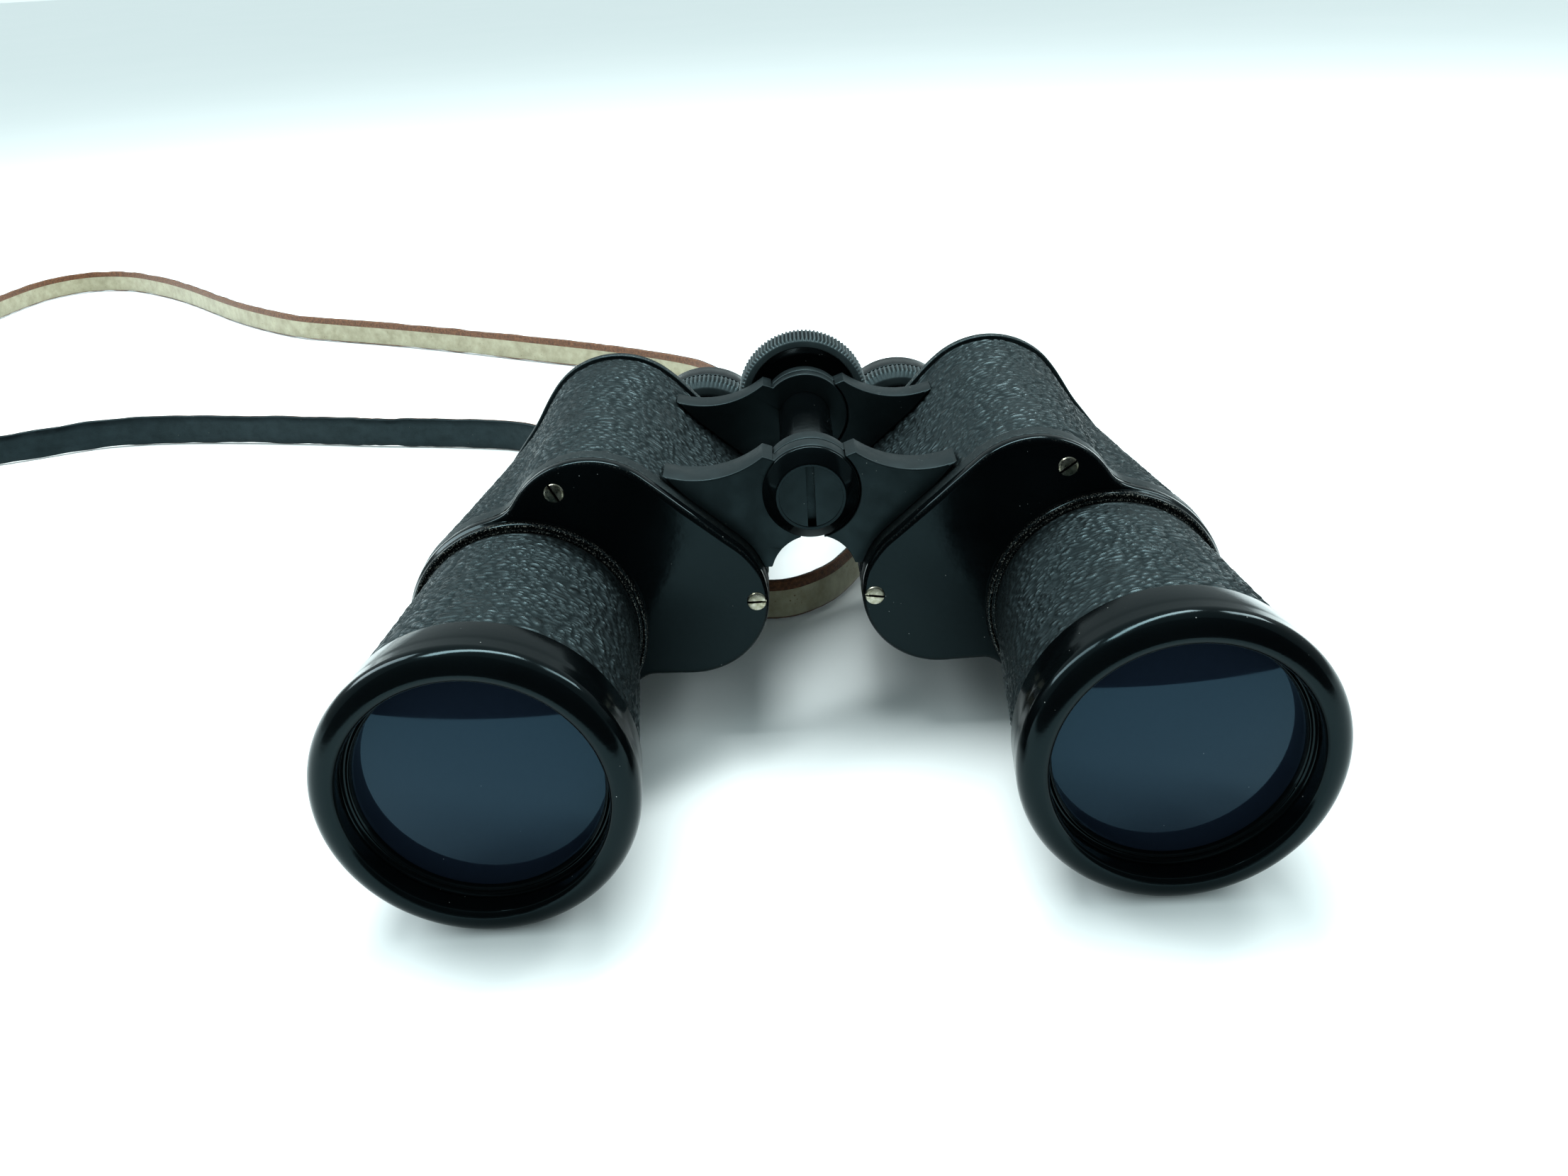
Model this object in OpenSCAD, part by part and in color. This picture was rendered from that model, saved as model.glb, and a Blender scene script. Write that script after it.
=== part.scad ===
// Prism binoculars with centre focus, lying on the objective rims and the strap lugs.
// Each half is drawn once about its own objective axis and mirrored for the other.
// Millimetres. +X to the wearer's left, objectives face -Y, +Z up, z = 0 is the table.

/* [Overall] */
// Distance between the two objective axes as the binoculars lie
objective_spacing = 138; // [132:1:168]
// Height of the hinge axis above the objective axes
hinge_rise = 29.1; // [24:0.1:35]
// Length of the objective tube from the hood to the front cover
tube_len = 54.5; // [44:0.5:68]
// Length of the prism housing between its covers
housing_len = 76.5; // [73:0.5:94]

/* [Objectives] */
// Outer radius of the objective hood
rim_r = 32.5; // [30:0.1:40]
// Length of the objective hood
hood_len = 16; // [13:0.5:20]
// Radius of the opening in the hood
hood_mouth_r = 26.4; // [21:0.1:28]
// Radius of the objective lens
lens_r = 25.6; // [20:0.1:26]
// Outer radius of the covered tube behind the hood
tube_front_r = 31.1; // [28:0.1:34]
// Outer radius of the covered tube at the front cover
tube_rear_r = 26.7; // [22:0.1:27.4]
// Wall of the objective tube
tube_wall = 1.6; // [1:0.1:3]

/* [Prism housing] */
// Sideways offset of the light in each prism
prism_offset = 27.6; // [25:0.1:34]
// Angle of the rear prism above the horizontal
prism_angle = 51.6; // [45:0.1:58]
// Width of the prism faces
prism_w = 24; // [19:0.5:26]
// Radius of the housing front about the objective axis
shoulder_r = 29; // [28.6:0.1:35]
// Radius of the housing rear about the objective axis
heel_r = 20.2; // [19:0.1:26]
// Radius of the housing over the crossing of the prisms
hump_r = 20.4; // [19:0.1:25]
// Radius of the housing about the eyepiece axis
lobe_r = 19; // [17:0.1:23]
// Wall of the housing casting
housing_wall = 2.2; // [1.5:0.1:3]
// Thickness of the leatherette
skin = 0.8; // [0.5:0.1:1.2]
// Thickness of the front cover
cover_t = 3; // [2.5:0.1:4]
// Width of the bare metal band behind the front cover
band_w = 4.5; // [3:0.5:8]
// Thickness of the rear cover
rear_cover_t = 5; // [4:0.5:7]

/* [Hinge] */
// Radius of the hinge knuckles
knuckle_r = 11.6; // [10:0.1:14]
// Radius of the hinge axle
axle_r = 4; // [3.4:0.1:5]
// Radius of the tube between the hinge arms
hinge_tube_r = 7; // [6:0.1:9]
// Thickness of the front hinge arms
front_arm_t = 10; // [8:0.5:12]
// Thickness of the rear hinge arms
rear_arm_t = 8; // [6.5:0.5:10]
// Radius of the focus wheel
wheel_r = 18.2; // [15:0.1:22]
// Width of the focus wheel
wheel_w = 9; // [7:0.5:12]

/* [Eyepieces] */
// Inner radius of the eyepiece guide tube
guide_r = 11.5; // [9.5:0.1:13.5]
// Radius of the knurled eyepiece rings
ring_r = 19.8; // [17:0.1:24]
// Width of the knurled eyepiece rings
ring_w = 8; // [6:0.5:10]
// Length of the eyecups
eyecup_len = 9.5; // [8:0.5:14]
// Outer radius of the eyecups
eyecup_r = 19; // [16:0.1:23]

/* [Strap] */
// Width of the neck strap
strap_w = 12; // [9:0.5:13.5]
// Thickness of the neck strap
strap_t = 2; // [1.5:0.1:2.5]

/* [Hidden] */
$fn = 96;
// Gap between pieces that turn or slide on each other, measured on the radius
run_gap = 0.05;
// Gap between pieces that only pass each other
pass_gap = 0.3;
// Points round the housing outline
outline_n = 80;
// Growth from the outside of the leatherette to the housing's inner wall, and to what fits in it
cavity = -skin - housing_wall;
inside = cavity - 0.1;

// Places in the plane across the axes, from the objective axis: x towards the hinge, y up
crossing = prism_offset * [cos(prism_angle), sin(prism_angle)];
eye = crossing + prism_offset * [sin(prism_angle), -cos(prism_angle)];
hinge = [objective_spacing / 2, hinge_rise];
core = [22, 8];
belly = [20, eye.y];
belly_r = 18.6;

// Stations along Y, counted from the front of the hoods
tube_y = hood_len;
cover_y = hood_len + tube_len + cover_t;
housing_y = cover_y + cover_t;
band_y = housing_y + band_w;
rear_y = housing_y + housing_len;
shelf_y = housing_y + housing_len / 2 - 2;
shelf_t = 3;
front_arm_y = band_y - 0.5;
rear_arm_y = rear_y - rear_arm_t - 8;
cap_t = 3.4;
// The wheel sits between the rear covers, or behind them where they leave no room for it
rear_lip = 0.9;
wheel_room = min([for (p = section(1, rear_lip)) norm(p - hinge)]) - wheel_r;
wheel_y = wheel_room > pass_gap ? rear_y - 2 : rear_y + rear_cover_t + pass_gap;
bridge_y = wheel_y + wheel_w + 4;
bridge_t = 4;
barrel_y = rear_y + rear_cover_t + 4;
ring_y = rear_y + 37;
eyecup_y = ring_y + ring_w + 2;
total_len = eyecup_y + eyecup_len;

// Objective tube, hood and lens
boss_r = tube_rear_r + 1.7;
boss_t = cover_t;
hood_straight = 11;
hood_spigot = 0.6;
cell_y = 6;
lens_y = 7.2;
lens_t = 7;
flint_t = 4;
cell_len = 16;

// Hinge and focus
spindle_r = 2.4;
arm_sag = 3.8;
arm_corner = [-knuckle_r + 0.6, 9.2];
web_gap = 2.8;
arch_drop = 21.6;
arch_r = 10.3;
slot_w = 2;
slot_len = 15;
slot_depth = 1.2;

// Eyepieces
guide_wall = 1.4;
guide_len = 27;
barrel_r = guide_r + guide_wall + run_gap;
barrel_wall = 1.5;
ocular_r = guide_r - run_gap;
ocular_wall = 1.4;
bridge_ring_wall = 2.2;

// Screws, from the objective axis
front_screws = [crossing + 15 * [cos(119), sin(119)], eye + [lobe_r - 2.9, 0]];
rear_screws = concat(front_screws, [[-10.3, -10.3]]);
screw_head_r = 2.35;
screw_head_t = 1.3;
screw_r = 1.2;
screw_len = 9;
screw_post_r = 2.2;

// Strap lugs stand on the table under the rear of the housings
lug_x = -3;
lug_y = rear_y - 15;
lug_len = 10;
lug_ear_t = 2;
lug_foot_r = 3.6;
lug_bar_r = 1.2;
lug_top = 8;
lug_gap = strap_w + 1;

// Free strap, from behind the left lug round to the right lug, seen from above
strap_route = [
    [72, 53.6], [73, 66], [75, 84], [69, 102], [50, 108], [33, 94], [20, 72], [12, 54], [4, 41], [-8, 33],
    [-21, 36], [-30, 48], [-34, 70], [-35, 110], [-33, 160], [-29, 205], [-29, 238], [-42, 264],
    [-62, 282], [-90, 301], [-124, 320], [-165, 343], [-204, 363], [-234, 377], [-260, 390],
    [-284, 409], [-310, 434], [-352, 481], [-380, 508], [-408, 528], [-434, 532], [-452, 518],
    [-460, 492], [-463, 456], [-462, 415], [-454, 370], [-441, 325], [-424, 282], [-404, 246],
    [-380, 218], [-356, 206], [-332, 208], [-311, 216], [-294, 223], [-278, 225], [-258, 224], [-232, 220],
    [-203, 214], [-173, 207], [-143, 201], [-114, 193], [-92, 178], [-79, 154], [-75, 124],
    [-74, 96], [-73, 72], [-72, 53.6]];

// Smooth maximum of two lengths, with a blend that is k wide
function blended(a, b, k) = max(a, b) + pow(max(k - abs(a - b), 0), 2) / (4 * k);

// How far a ray from the core along u reaches inside a circle, and inside a bar between two
function reach(c, r, u) =
    let (d = c - core, b = d * u, q = r * r - d * d + b * b) q < 0 ? 0 : b + sqrt(q);
function reach_bar(a, ra, b, rb, u) =
    max([for (t = [0:0.1:1]) reach(a + (b - a) * t, ra + (rb - ra) * t, u)]);

// Outline across the housing at the front or the rear, grown outwards
function prism_reach(u) = max(
    reach_bar(crossing, hump_r, eye, lobe_r, u), reach_bar(belly, belly_r, eye, lobe_r, u));
function front_reach(u) = blended(reach([0, 0], shoulder_r, u), prism_reach(u), 5);
function rear_reach(u) = blended(
    max(reach_bar([0, 0], heel_r, crossing, hump_r, u), reach_bar([0, 0], heel_r, belly, belly_r, u)),
    prism_reach(u), 5);
function section(t, grow) = [
    for (i = [0:outline_n - 1])
        let (u = [cos(360 * i / outline_n), sin(360 * i / outline_n)])
            core + u * (front_reach(u) * (1 - t) + rear_reach(u) * t + grow)];

// Points of an arc about c from angle a0 to a1
function arc(c, r, a0, a1, n) =
    [for (i = [0:n]) let (a = a0 + (a1 - a0) * i / n) c + r * [cos(a), sin(a)]];

// Points of a spherical surface through [0, y], bulging to -Y when r is positive
function lens_curve(y, r, rim, n) =
    [for (i = [0:n]) let (x = rim * i / n) [x, y + (r - sign(r) * sqrt(r * r - x * x))]];
function reversed(list) = [for (i = [len(list) - 1:-1:0]) list[i]];

// Half bodies: the right half as drawn, the left half its mirror image
module on_right() {
    translate([-objective_spacing / 2, -total_len / 2, rim_r]) children();
}
module on_left() {
    mirror([1, 0, 0]) on_right() children();
}
module on_hinge() {
    translate([0, -total_len / 2, rim_r + hinge_rise]) children();
}
module at_eye() {
    translate([eye.x, 0, eye.y]) children();
}
module at_hinge() {
    translate([hinge.x, 0, hinge.y]) children();
}

// A flat shape given depth along Y, and a profile of [radius, y] turned about Y
module along_y(y0, y1) {
    translate([0, y1, 0]) rotate([90, 0, 0]) linear_extrude(y1 - y0) children();
}
module turned(profile) {
    rotate([-90, 0, 0]) rotate_extrude() polygon(profile);
}
module disc(r, y0, y1) {
    along_y(y0, y1) circle(r);
}
module ring(r_out, r_in, y0, y1) {
    along_y(y0, y1) difference() {
        circle(r_out);
        circle(r_in);
    }
}

// Closed tube of one wall, from rings that run back along its outside and forward along its inside.
// Each four-sided patch is split from its front corner, so that two tubes that touch share the split.
module shell(rings) {
    n = len(rings);
    m = outline_n;
    points = [for (r = rings, p = r[1]) [p.x, r[0], p.y]];
    polyhedron(points, [
        for (k = [0:n - 1], i = [0:m - 1])
            let (j = (i + 1) % m, next = (k + 1) % n, a = k * m, b = next * m)
                each rings[next][0] < rings[k][0]
                    ? [[a + i, a + j, b + j], [a + i, b + j, b + i]]
                    : [[a + i, a + j, b + i], [a + j, b + j, b + i]]]);
}

module screw(y0, facing) {
    disc(screw_head_r, min(y0, y0 + facing * screw_head_t), max(y0, y0 + facing * screw_head_t));
    disc(screw_r, min(y0, y0 + facing * screw_len), max(y0, y0 + facing * screw_len));
}

// Prism housing and what closes it
module prism_housing() {
    color("#1b1d1f") shell([
        [housing_y, section(0, 0)], [band_y, section(0, 0)], [band_y, section(0, -skin)],
        [rear_y, section(1, -skin)], [rear_y, section(1, cavity)], [band_y, section(0, cavity)],
        [housing_y, section(0, cavity)]]);
}
module housing_leatherette() {
    color("#26292b") shell([
        [band_y, section(0, 0)], [rear_y, section(1, 0)],
        [rear_y, section(1, -skin)], [band_y, section(0, -skin)]]);
}
module front_cover() {
    color("#0c0d0e") difference() {
        union() {
            along_y(cover_y, housing_y) polygon(section(0, 0));
            disc(boss_r, cover_y - boss_t, cover_y);
        }
        disc(tube_rear_r - skin, cover_y - boss_t - 1, housing_y + 1);
        for (p = front_screws) translate([p.x, 0, p.y]) {
            disc(screw_head_r, cover_y - 1, cover_y + screw_head_t);
            disc(screw_r, cover_y, housing_y + 1);
        }
    }
}
module rear_cover() {
    rear_step = 1.2;
    spigot_wall = 1.5;
    color("#141517") difference() {
        union() {
            along_y(rear_y, rear_y + rear_cover_t / 2) polygon(section(1, rear_lip));
            along_y(rear_y + rear_cover_t / 2, rear_y + rear_cover_t) polygon(section(1, -rear_step));
            along_y(rear_y - 2, rear_y) difference() {
                polygon(section(1, inside));
                polygon(section(1, inside - spigot_wall));
            }
        }
        at_eye() disc(guide_r + guide_wall, rear_y - 1, rear_y + rear_cover_t + 1);
        for (p = rear_screws) translate([p.x, 0, p.y]) {
            disc(screw_head_r, rear_y + rear_cover_t - screw_head_t, rear_y + rear_cover_t + 1);
            disc(screw_r, rear_y - 1, rear_y + rear_cover_t);
            disc(screw_post_r + pass_gap, rear_y - 3, rear_y);
        }
        at_hinge() disc(knuckle_r + 1, rear_y - 1, rear_y + rear_cover_t + 1);
    }
}
module cover_screws() {
    color("#a8a690") {
        for (p = front_screws) translate([p.x, 0, p.y]) difference() {
            screw(cover_y, 1);
            slot(cover_y);
        }
        for (p = rear_screws) translate([p.x, 0, p.y]) difference() {
            screw(rear_y + rear_cover_t, -1);
            slot(rear_y + rear_cover_t);
        }
    }
}
module slot(y) {
    translate([-screw_head_r - 1, y - 0.5, -0.3]) cube([2 * screw_head_r + 2, 1, 0.6]);
}

// Objectives
module objective_tube() {
    seat_r = tube_front_r - skin;
    root_r = tube_rear_r - skin;
    color("#121314") turned([
        [seat_r - tube_wall, cell_y], [seat_r - hood_spigot, cell_y], [seat_r - hood_spigot, tube_y],
        [seat_r, tube_y],
        [root_r, cover_y - boss_t], [root_r, housing_y],
        [root_r - tube_wall, housing_y], [root_r - tube_wall, cover_y - boss_t],
        [seat_r - tube_wall, cell_y + cell_len + 4]]);
}
module tube_leatherette() {
    color("#26292b") turned([
        [tube_front_r - skin, tube_y], [tube_front_r, tube_y],
        [tube_rear_r, cover_y - boss_t], [tube_rear_r - skin, cover_y - boss_t]]);
}
module objective_hood() {
    bead = 4;
    lip = 1.4;
    bore_r = tube_front_r - skin - hood_spigot;
    color("#08090a") turned(concat(
        arc([rim_r - bead, bead], bead, 0, -100, 12),
        arc([hood_mouth_r + lip, 1.2 + lip], lip, -100, -180, 6),
        [[hood_mouth_r, cell_y], [bore_r, cell_y], [bore_r, hood_len], [tube_front_r + 0.4, hood_len],
         [rim_r, hood_straight]]));
}
module objective_cell() {
    out_r = tube_front_r - skin - tube_wall;
    in_r = lens_r - 1;
    seat_y = lens_y + lens_t + 2.5;
    color("#101112") turned([
        [in_r, cell_y], [out_r, cell_y], [out_r, cell_y + cell_len], [in_r, cell_y + cell_len],
        [in_r, seat_y], [lens_r, seat_y], [lens_r, lens_y + 1], [in_r, lens_y]]);
}
module objective_lens() {
    clear_r = lens_r - 1.2;
    front = lens_curve(lens_y - 1.2, 110, clear_r, 12);
    joint = lens_curve(lens_y + lens_t - 1.2, -90, clear_r, 12);
    back = lens_curve(lens_y + lens_t + flint_t - 2.4, -400, clear_r, 6);
    edge = [[lens_r, lens_y + 2], [lens_r, lens_y + 4]];
    color("#1c2733", 0.6) turned(concat(front, edge, reversed(joint)));
    color("#202b36", 0.6) turned(concat(joint, reversed(back)));
}

// Prisms, from the objective axis: the rear one runs up to the crossing, the front one down to the eye
module prism_body(a, b, y0, facing, w, grow) {
    run = b - a;
    span = norm(run);
    half = (span + w) / 2 + grow;
    translate([(a.x + b.x) / 2, y0, (a.y + b.y) / 2])
        rotate([0, -atan2(run.y, run.x), 0])
            translate([0, 0, -w / 2]) linear_extrude(w)
                polygon([[-half, 0], [half, 0], [3, facing * (half - 3)], [-3, facing * (half - 3)]]);
}
module oblong(a, b, r, y0, y1) {
    run = b - a;
    along_y(y0, y1) {
        translate(a) circle(r);
        translate(b) circle(r);
        translate(a) rotate(atan2(run.y, run.x)) translate([0, -r]) square([norm(run), 2 * r]);
    }
}
module front_prism() {
    color("#9fb4bd", 0.5) intersection() {
        prism_body(crossing, eye, shelf_y, -1, prism_w, 0);
        oblong(crossing, eye, prism_w / 2, shelf_y - 40, shelf_y);
    }
}
module rear_prism() {
    color("#9fb4bd", 0.5) intersection() {
        prism_body([0, 0], crossing, shelf_y + shelf_t, 1, prism_w, 0);
        oblong([0, 0], crossing, prism_w / 2, shelf_y + shelf_t, shelf_y + shelf_t + 40);
    }
}
// Shelf between the prisms, with the pillars that both covers are screwed to
module pillar(p, y0, y1, t) {
    along_y(y0, y1) intersection() {
        translate(p) circle(screw_post_r);
        polygon(section(t, inside));
    }
}
module prism_shelf() {
    shelf_end = (shelf_y + shelf_t - band_y) / (rear_y - band_y);
    color("#5b5e60") difference() {
        union() {
            along_y(shelf_y, shelf_y + shelf_t) polygon(section(shelf_end, inside));
            for (p = front_screws) pillar(p, housing_y, shelf_y + 1, shelf_end);
            for (p = rear_screws) pillar(p, shelf_y + 1, rear_y, 1);
        }
        for (c = [[0, 0], crossing, eye])
            translate([c.x, 0, c.y]) disc(prism_w / 2 - 1.5, shelf_y - 1, shelf_y + shelf_t + 1);
        for (p = front_screws)
            translate([p.x, 0, p.y]) disc(screw_r, housing_y - 1, cover_y + screw_len);
        for (p = rear_screws)
            translate([p.x, 0, p.y]) disc(screw_r, rear_y + rear_cover_t - screw_len, rear_y + 1);
    }
}
module prism_clip(a, b, y0, facing) {
    clip_w = 6;
    clip_t = 0.8;
    difference() {
        prism_body(a, b, y0, facing, clip_w, (prism_w - clip_w) / 2 + clip_t);
        prism_body(a, b, y0, facing, clip_w + 1, (prism_w - clip_w - 1) / 2);
    }
}
module prism_clips() {
    color("#8c8f90") {
        prism_clip(crossing, eye, shelf_y, -1);
        prism_clip([0, 0], crossing, shelf_y + shelf_t, 1);
    }
}

// Eyepieces, about the eyepiece axis
module eyepiece_guide() {
    color("#2b2d2f") at_eye()
        ring(guide_r + guide_wall, guide_r, rear_y, rear_y + rear_cover_t + guide_len - 5);
}
module eyepiece_barrel() {
    color("#101112") at_eye() {
        ring(barrel_r + barrel_wall, barrel_r, barrel_y, ring_y + ring_w);
    }
}
module ocular_cell() {
    color("#17181a") at_eye() {
        ring(ocular_r, ocular_r - ocular_wall, barrel_y + 6, eyecup_y + 3);
        ring(eyecup_r - 3, ocular_r, eyecup_y, eyecup_y + 3);
    }
}
module ocular_lenses() {
    r = ocular_r - ocular_wall;
    color("#2a3440", 0.6) at_eye() {
        turned(concat(lens_curve(barrel_y + 8, 60, r, 8), reversed(lens_curve(barrel_y + 14, -40, r, 8))));
        turned(concat(lens_curve(eyecup_y - 6, 30, r, 8), reversed(lens_curve(eyecup_y + 1, -60, r, 8))));
    }
}
module knurled_ring(bore_r, y0, w, r) {
    teeth = 90;
    depth = 0.5;
    difference() {
        turned([
            [bore_r, y0], [r - 1.8, y0], [r, y0 + 1.6], [r, y0 + w - 0.6],
            [r - 0.6, y0 + w], [bore_r, y0 + w]]);
        for (i = [0:teeth - 1])
            rotate([0, 360 * i / teeth, 0])
                translate([r, y0 + w / 2 + 0.6, 0]) rotate([0, 45, 0])
                    cube([depth, w - 2.6, depth], center = true);
    }
}
module eyepiece_ring(clearance) {
    color("#3a3d40") at_eye() knurled_ring(barrel_r + barrel_wall + clearance, ring_y, ring_w, ring_r);
}
module eyecup() {
    in_r = ocular_r - ocular_wall + 1;
    color("#0b0c0d") at_eye() turned([
        [eyecup_r - 3, eyecup_y], [eyecup_r, eyecup_y], [eyecup_r, eyecup_y + eyecup_len - 1.5],
        [eyecup_r - 0.6, eyecup_y + eyecup_len - 0.4], [eyecup_r - 1.8, eyecup_y + eyecup_len],
        [eyecup_r - 3, eyecup_y + eyecup_len - 0.6], [in_r, eyecup_y + 4.6], [in_r, eyecup_y + 3],
        [eyecup_r - 3, eyecup_y + 3]]);
}

// Hinge arms: webs from each housing to the axle, stacked along the axle
module arm_outline() {
    start = crossing + hump_r * [cos(45), sin(45)];
    end = hinge + arm_corner;
    chord = end - start;
    bow = (chord * chord / 4 + arm_sag * arm_sag) / (2 * arm_sag);
    mid = (start + end) / 2 + (bow - arm_sag) * [-chord.y, chord.x] / norm(chord);
    floor_y = hinge.y - arch_drop + 2.6;
    difference() {
        polygon([
            start - [3, 3], start + [0, 0.4], end + [0, 0.1], end + [1.4, -0.4], hinge + [-web_gap, 6],
            hinge + [-web_gap, -arch_drop + 2.6], [eye.x + 5, floor_y], eye, crossing]);
        translate(mid) circle(bow);
        translate(hinge - [0, arch_drop]) circle(arch_r);
    }
}
module web_outline() {
    difference() {
        arm_outline();
        polygon(section(0, 0));
        polygon(section(1, 0));
        translate(hinge) circle(knuckle_r + pass_gap);
    }
}
module knuckle_outline(bore_r) {
    difference() {
        union() {
            difference() {
                arm_outline();
                polygon(section(0, 0));
                polygon(section(1, 0));
            }
            translate(hinge) circle(knuckle_r);
        }
        translate(hinge) circle(bore_r);
    }
}
// A web as thick as t, with the knuckle at its front or its rear
module hinge_arm(y0, t, first, bore_r) {
    knuckle_t = (t - pass_gap) / 2;
    split_y = first ? y0 + knuckle_t : y0 + t - knuckle_t;
    color("#141517") {
        along_y(first ? y0 : split_y, first ? split_y : y0 + t) knuckle_outline(bore_r);
        along_y(first ? split_y : y0, first ? y0 + t : split_y) web_outline();
    }
}
module front_arm(first, bore_r) {
    hinge_arm(front_arm_y, front_arm_t, first, bore_r);
}
module rear_arm(first, bore_r) {
    hinge_arm(rear_arm_y, rear_arm_t, first, bore_r);
}

// Parts on the hinge axis
axle_end = wheel_y + wheel_w - 2;
module hinge_axle() {
    color("#6d6f70") on_hinge() ring(axle_r, spindle_r + run_gap, front_arm_y, axle_end);
}
module hinge_tube() {
    color("#0a0b0c") on_hinge() turned([
        [axle_r, front_arm_y + front_arm_t + pass_gap], [knuckle_r - 1, front_arm_y + front_arm_t + pass_gap],
        [knuckle_r - 1, front_arm_y + front_arm_t + 3], [hinge_tube_r, front_arm_y + front_arm_t + 5],
        [hinge_tube_r, rear_arm_y - pass_gap], [axle_r, rear_arm_y - pass_gap]]);
}
module hinge_cap() {
    face_y = front_arm_y - cap_t;
    color("#101113") on_hinge() difference() {
        union() {
            turned([[0, face_y], [knuckle_r - 3.3, face_y], [knuckle_r - 0.2, front_arm_y - 0.6],
                [knuckle_r - 0.2, front_arm_y], [0, front_arm_y]]);
            disc(spindle_r + run_gap, front_arm_y, front_arm_y + 8);
        }
        translate([-slot_w / 2, face_y - 1, -slot_len / 2]) cube([slot_w, slot_depth + 1, slot_len]);
    }
}
module hinge_washers() {
    color("#9a7b45") on_hinge() {
        for (y = [front_arm_y + (front_arm_t - pass_gap) / 2, rear_arm_y + (rear_arm_t - pass_gap) / 2])
            ring(knuckle_r - 3, axle_r, y + 0.02, y + pass_gap - 0.02);
    }
}
module focus_wheel() {
    teeth = 112;
    color("#33363a") on_hinge() difference() {
        turned([
            [axle_r + run_gap, wheel_y], [wheel_r - 5, wheel_y], [wheel_r - 4.2, wheel_y - 1.4],
            [wheel_r - 1.6, wheel_y - 1], [wheel_r, wheel_y + 2], [wheel_r, wheel_y + wheel_w - 0.8],
            [wheel_r - 0.8, wheel_y + wheel_w], [spindle_r + run_gap, wheel_y + wheel_w],
            [spindle_r + run_gap, axle_end + 0.1], [axle_r + run_gap, axle_end + 0.1]]);
        for (i = [0:teeth - 1])
            rotate([0, 360 * i / teeth, 0])
                translate([wheel_r, wheel_y + wheel_w / 2 + 0.6, 0]) rotate([0, 45, 0])
                    cube([0.5, wheel_w - 3.4, 0.5], center = true);
    }
}
module focus_spindle() {
    color("#8a8c8e") on_hinge() disc(spindle_r, rear_arm_y - 20, bridge_y + 2 * bridge_t + pass_gap);
}
module bridge_arm(y0, bore_r) {
    arm_w = 9;
    boss_r = 7;
    run = hinge - eye;
    tilt = atan2(run.y, run.x);
    color("#141517") difference() {
        along_y(y0, y0 + bridge_t) {
            translate(hinge) circle(boss_r);
            translate(eye) circle(barrel_r + barrel_wall + bridge_ring_wall);
            translate(eye) rotate(tilt) translate([0, -arm_w / 2]) square([norm(run), arm_w]);
        }
        at_hinge() disc(bore_r, y0 - 1, y0 + bridge_t + 1);
        at_eye() disc(barrel_r + barrel_wall, y0 - 1, y0 + bridge_t + 1);
    }
}
module bridge_cap() {
    y = bridge_y + 2 * bridge_t + pass_gap;
    r = 6;
    color("#101113") on_hinge() turned([[0, y], [r, y], [r, y + 1.2], [r - 1.5, y + 2.4], [0, y + 2.8]]);
}

// Strap lugs: a saddle under each housing, with two ears that stand on the table and a bar across them
module strap_lug() {
    ear_w = 2 * lug_foot_r;
    color("#141517") translate([lug_x, 0, -rim_r]) {
        difference() {
            translate([-lug_gap / 2 - lug_ear_t, lug_y, lug_top])
                cube([lug_gap + 2 * lug_ear_t, lug_len, rim_r / 2 - lug_top]);
            translate([-lug_x, 0, rim_r]) turned([
                [0, band_y], [shoulder_r + 0.02, band_y], [heel_r + 0.02, rear_y], [0, rear_y]]);
        }
        for (x = [-lug_gap / 2 - lug_ear_t, lug_gap / 2])
            translate([x, lug_y + (lug_len - ear_w) / 2, 0]) {
                translate([0, 0, lug_foot_r]) cube([lug_ear_t, ear_w, lug_top - lug_foot_r]);
                translate([0, lug_foot_r, lug_foot_r]) rotate([0, 90, 0])
                    cylinder(r = lug_foot_r, h = lug_ear_t);
            }
        translate([-lug_gap / 2, lug_y + lug_len / 2, lug_foot_r])
            rotate([0, 90, 0]) cylinder(r = lug_bar_r, h = lug_gap);
    }
}
// The strap's folded end, round the bar and out behind the lug
module strap_end() {
    in_r = lug_bar_r + 0.1;
    out_r = min(in_r + strap_t, lug_foot_r - 0.05);
    tail = 14;
    seam = 4;
    translate([lug_x, lug_y + lug_len / 2, lug_foot_r - rim_r]) color("#1a1a1b") rotate([0, 90, 0])
        translate([0, 0, -strap_w / 2]) linear_extrude(strap_w) difference() {
            union() {
                circle(out_r);
                translate([-out_r, 0]) square([2 * out_r, tail]);
            }
            circle(in_r);
            translate([-in_r, 0]) square([2 * in_r, tail - seam]);
        }
}

// Strap section with rounded edges, standing on its edge along the route
module neck_strap() {
    n = len(strap_route);
    h = strap_t / 2;
    soft = 0.4;
    face = [[-h, soft], [soft - h, 0], [h - soft, 0], [h, soft],
        [h, strap_w - soft], [h - soft, strap_w], [soft - h, strap_w], [-h, strap_w - soft]];
    m = len(face);
    points = [
        for (i = [0:n - 1])
            let (
                here = strap_route[i],
                ahead = strap_route[min(i + 1, n - 1)] - strap_route[max(i - 1, 0)],
                across = [ahead.y, -ahead.x] / norm(ahead))
                for (f = face) [here.x + across.x * f.x, here.y + across.y * f.x, f.y]];
    color("#1a1a1b") polyhedron(points, concat(
        [[for (k = [0:m - 1]) k]],
        [for (i = [0:n - 2], k = [0:m - 1])
            let (q = (k + 1) % m) [i * m + k, (i + 1) * m + k, (i + 1) * m + q, i * m + q]],
        [[for (k = [m - 1:-1:0]) (n - 1) * m + k]]));
}

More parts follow.
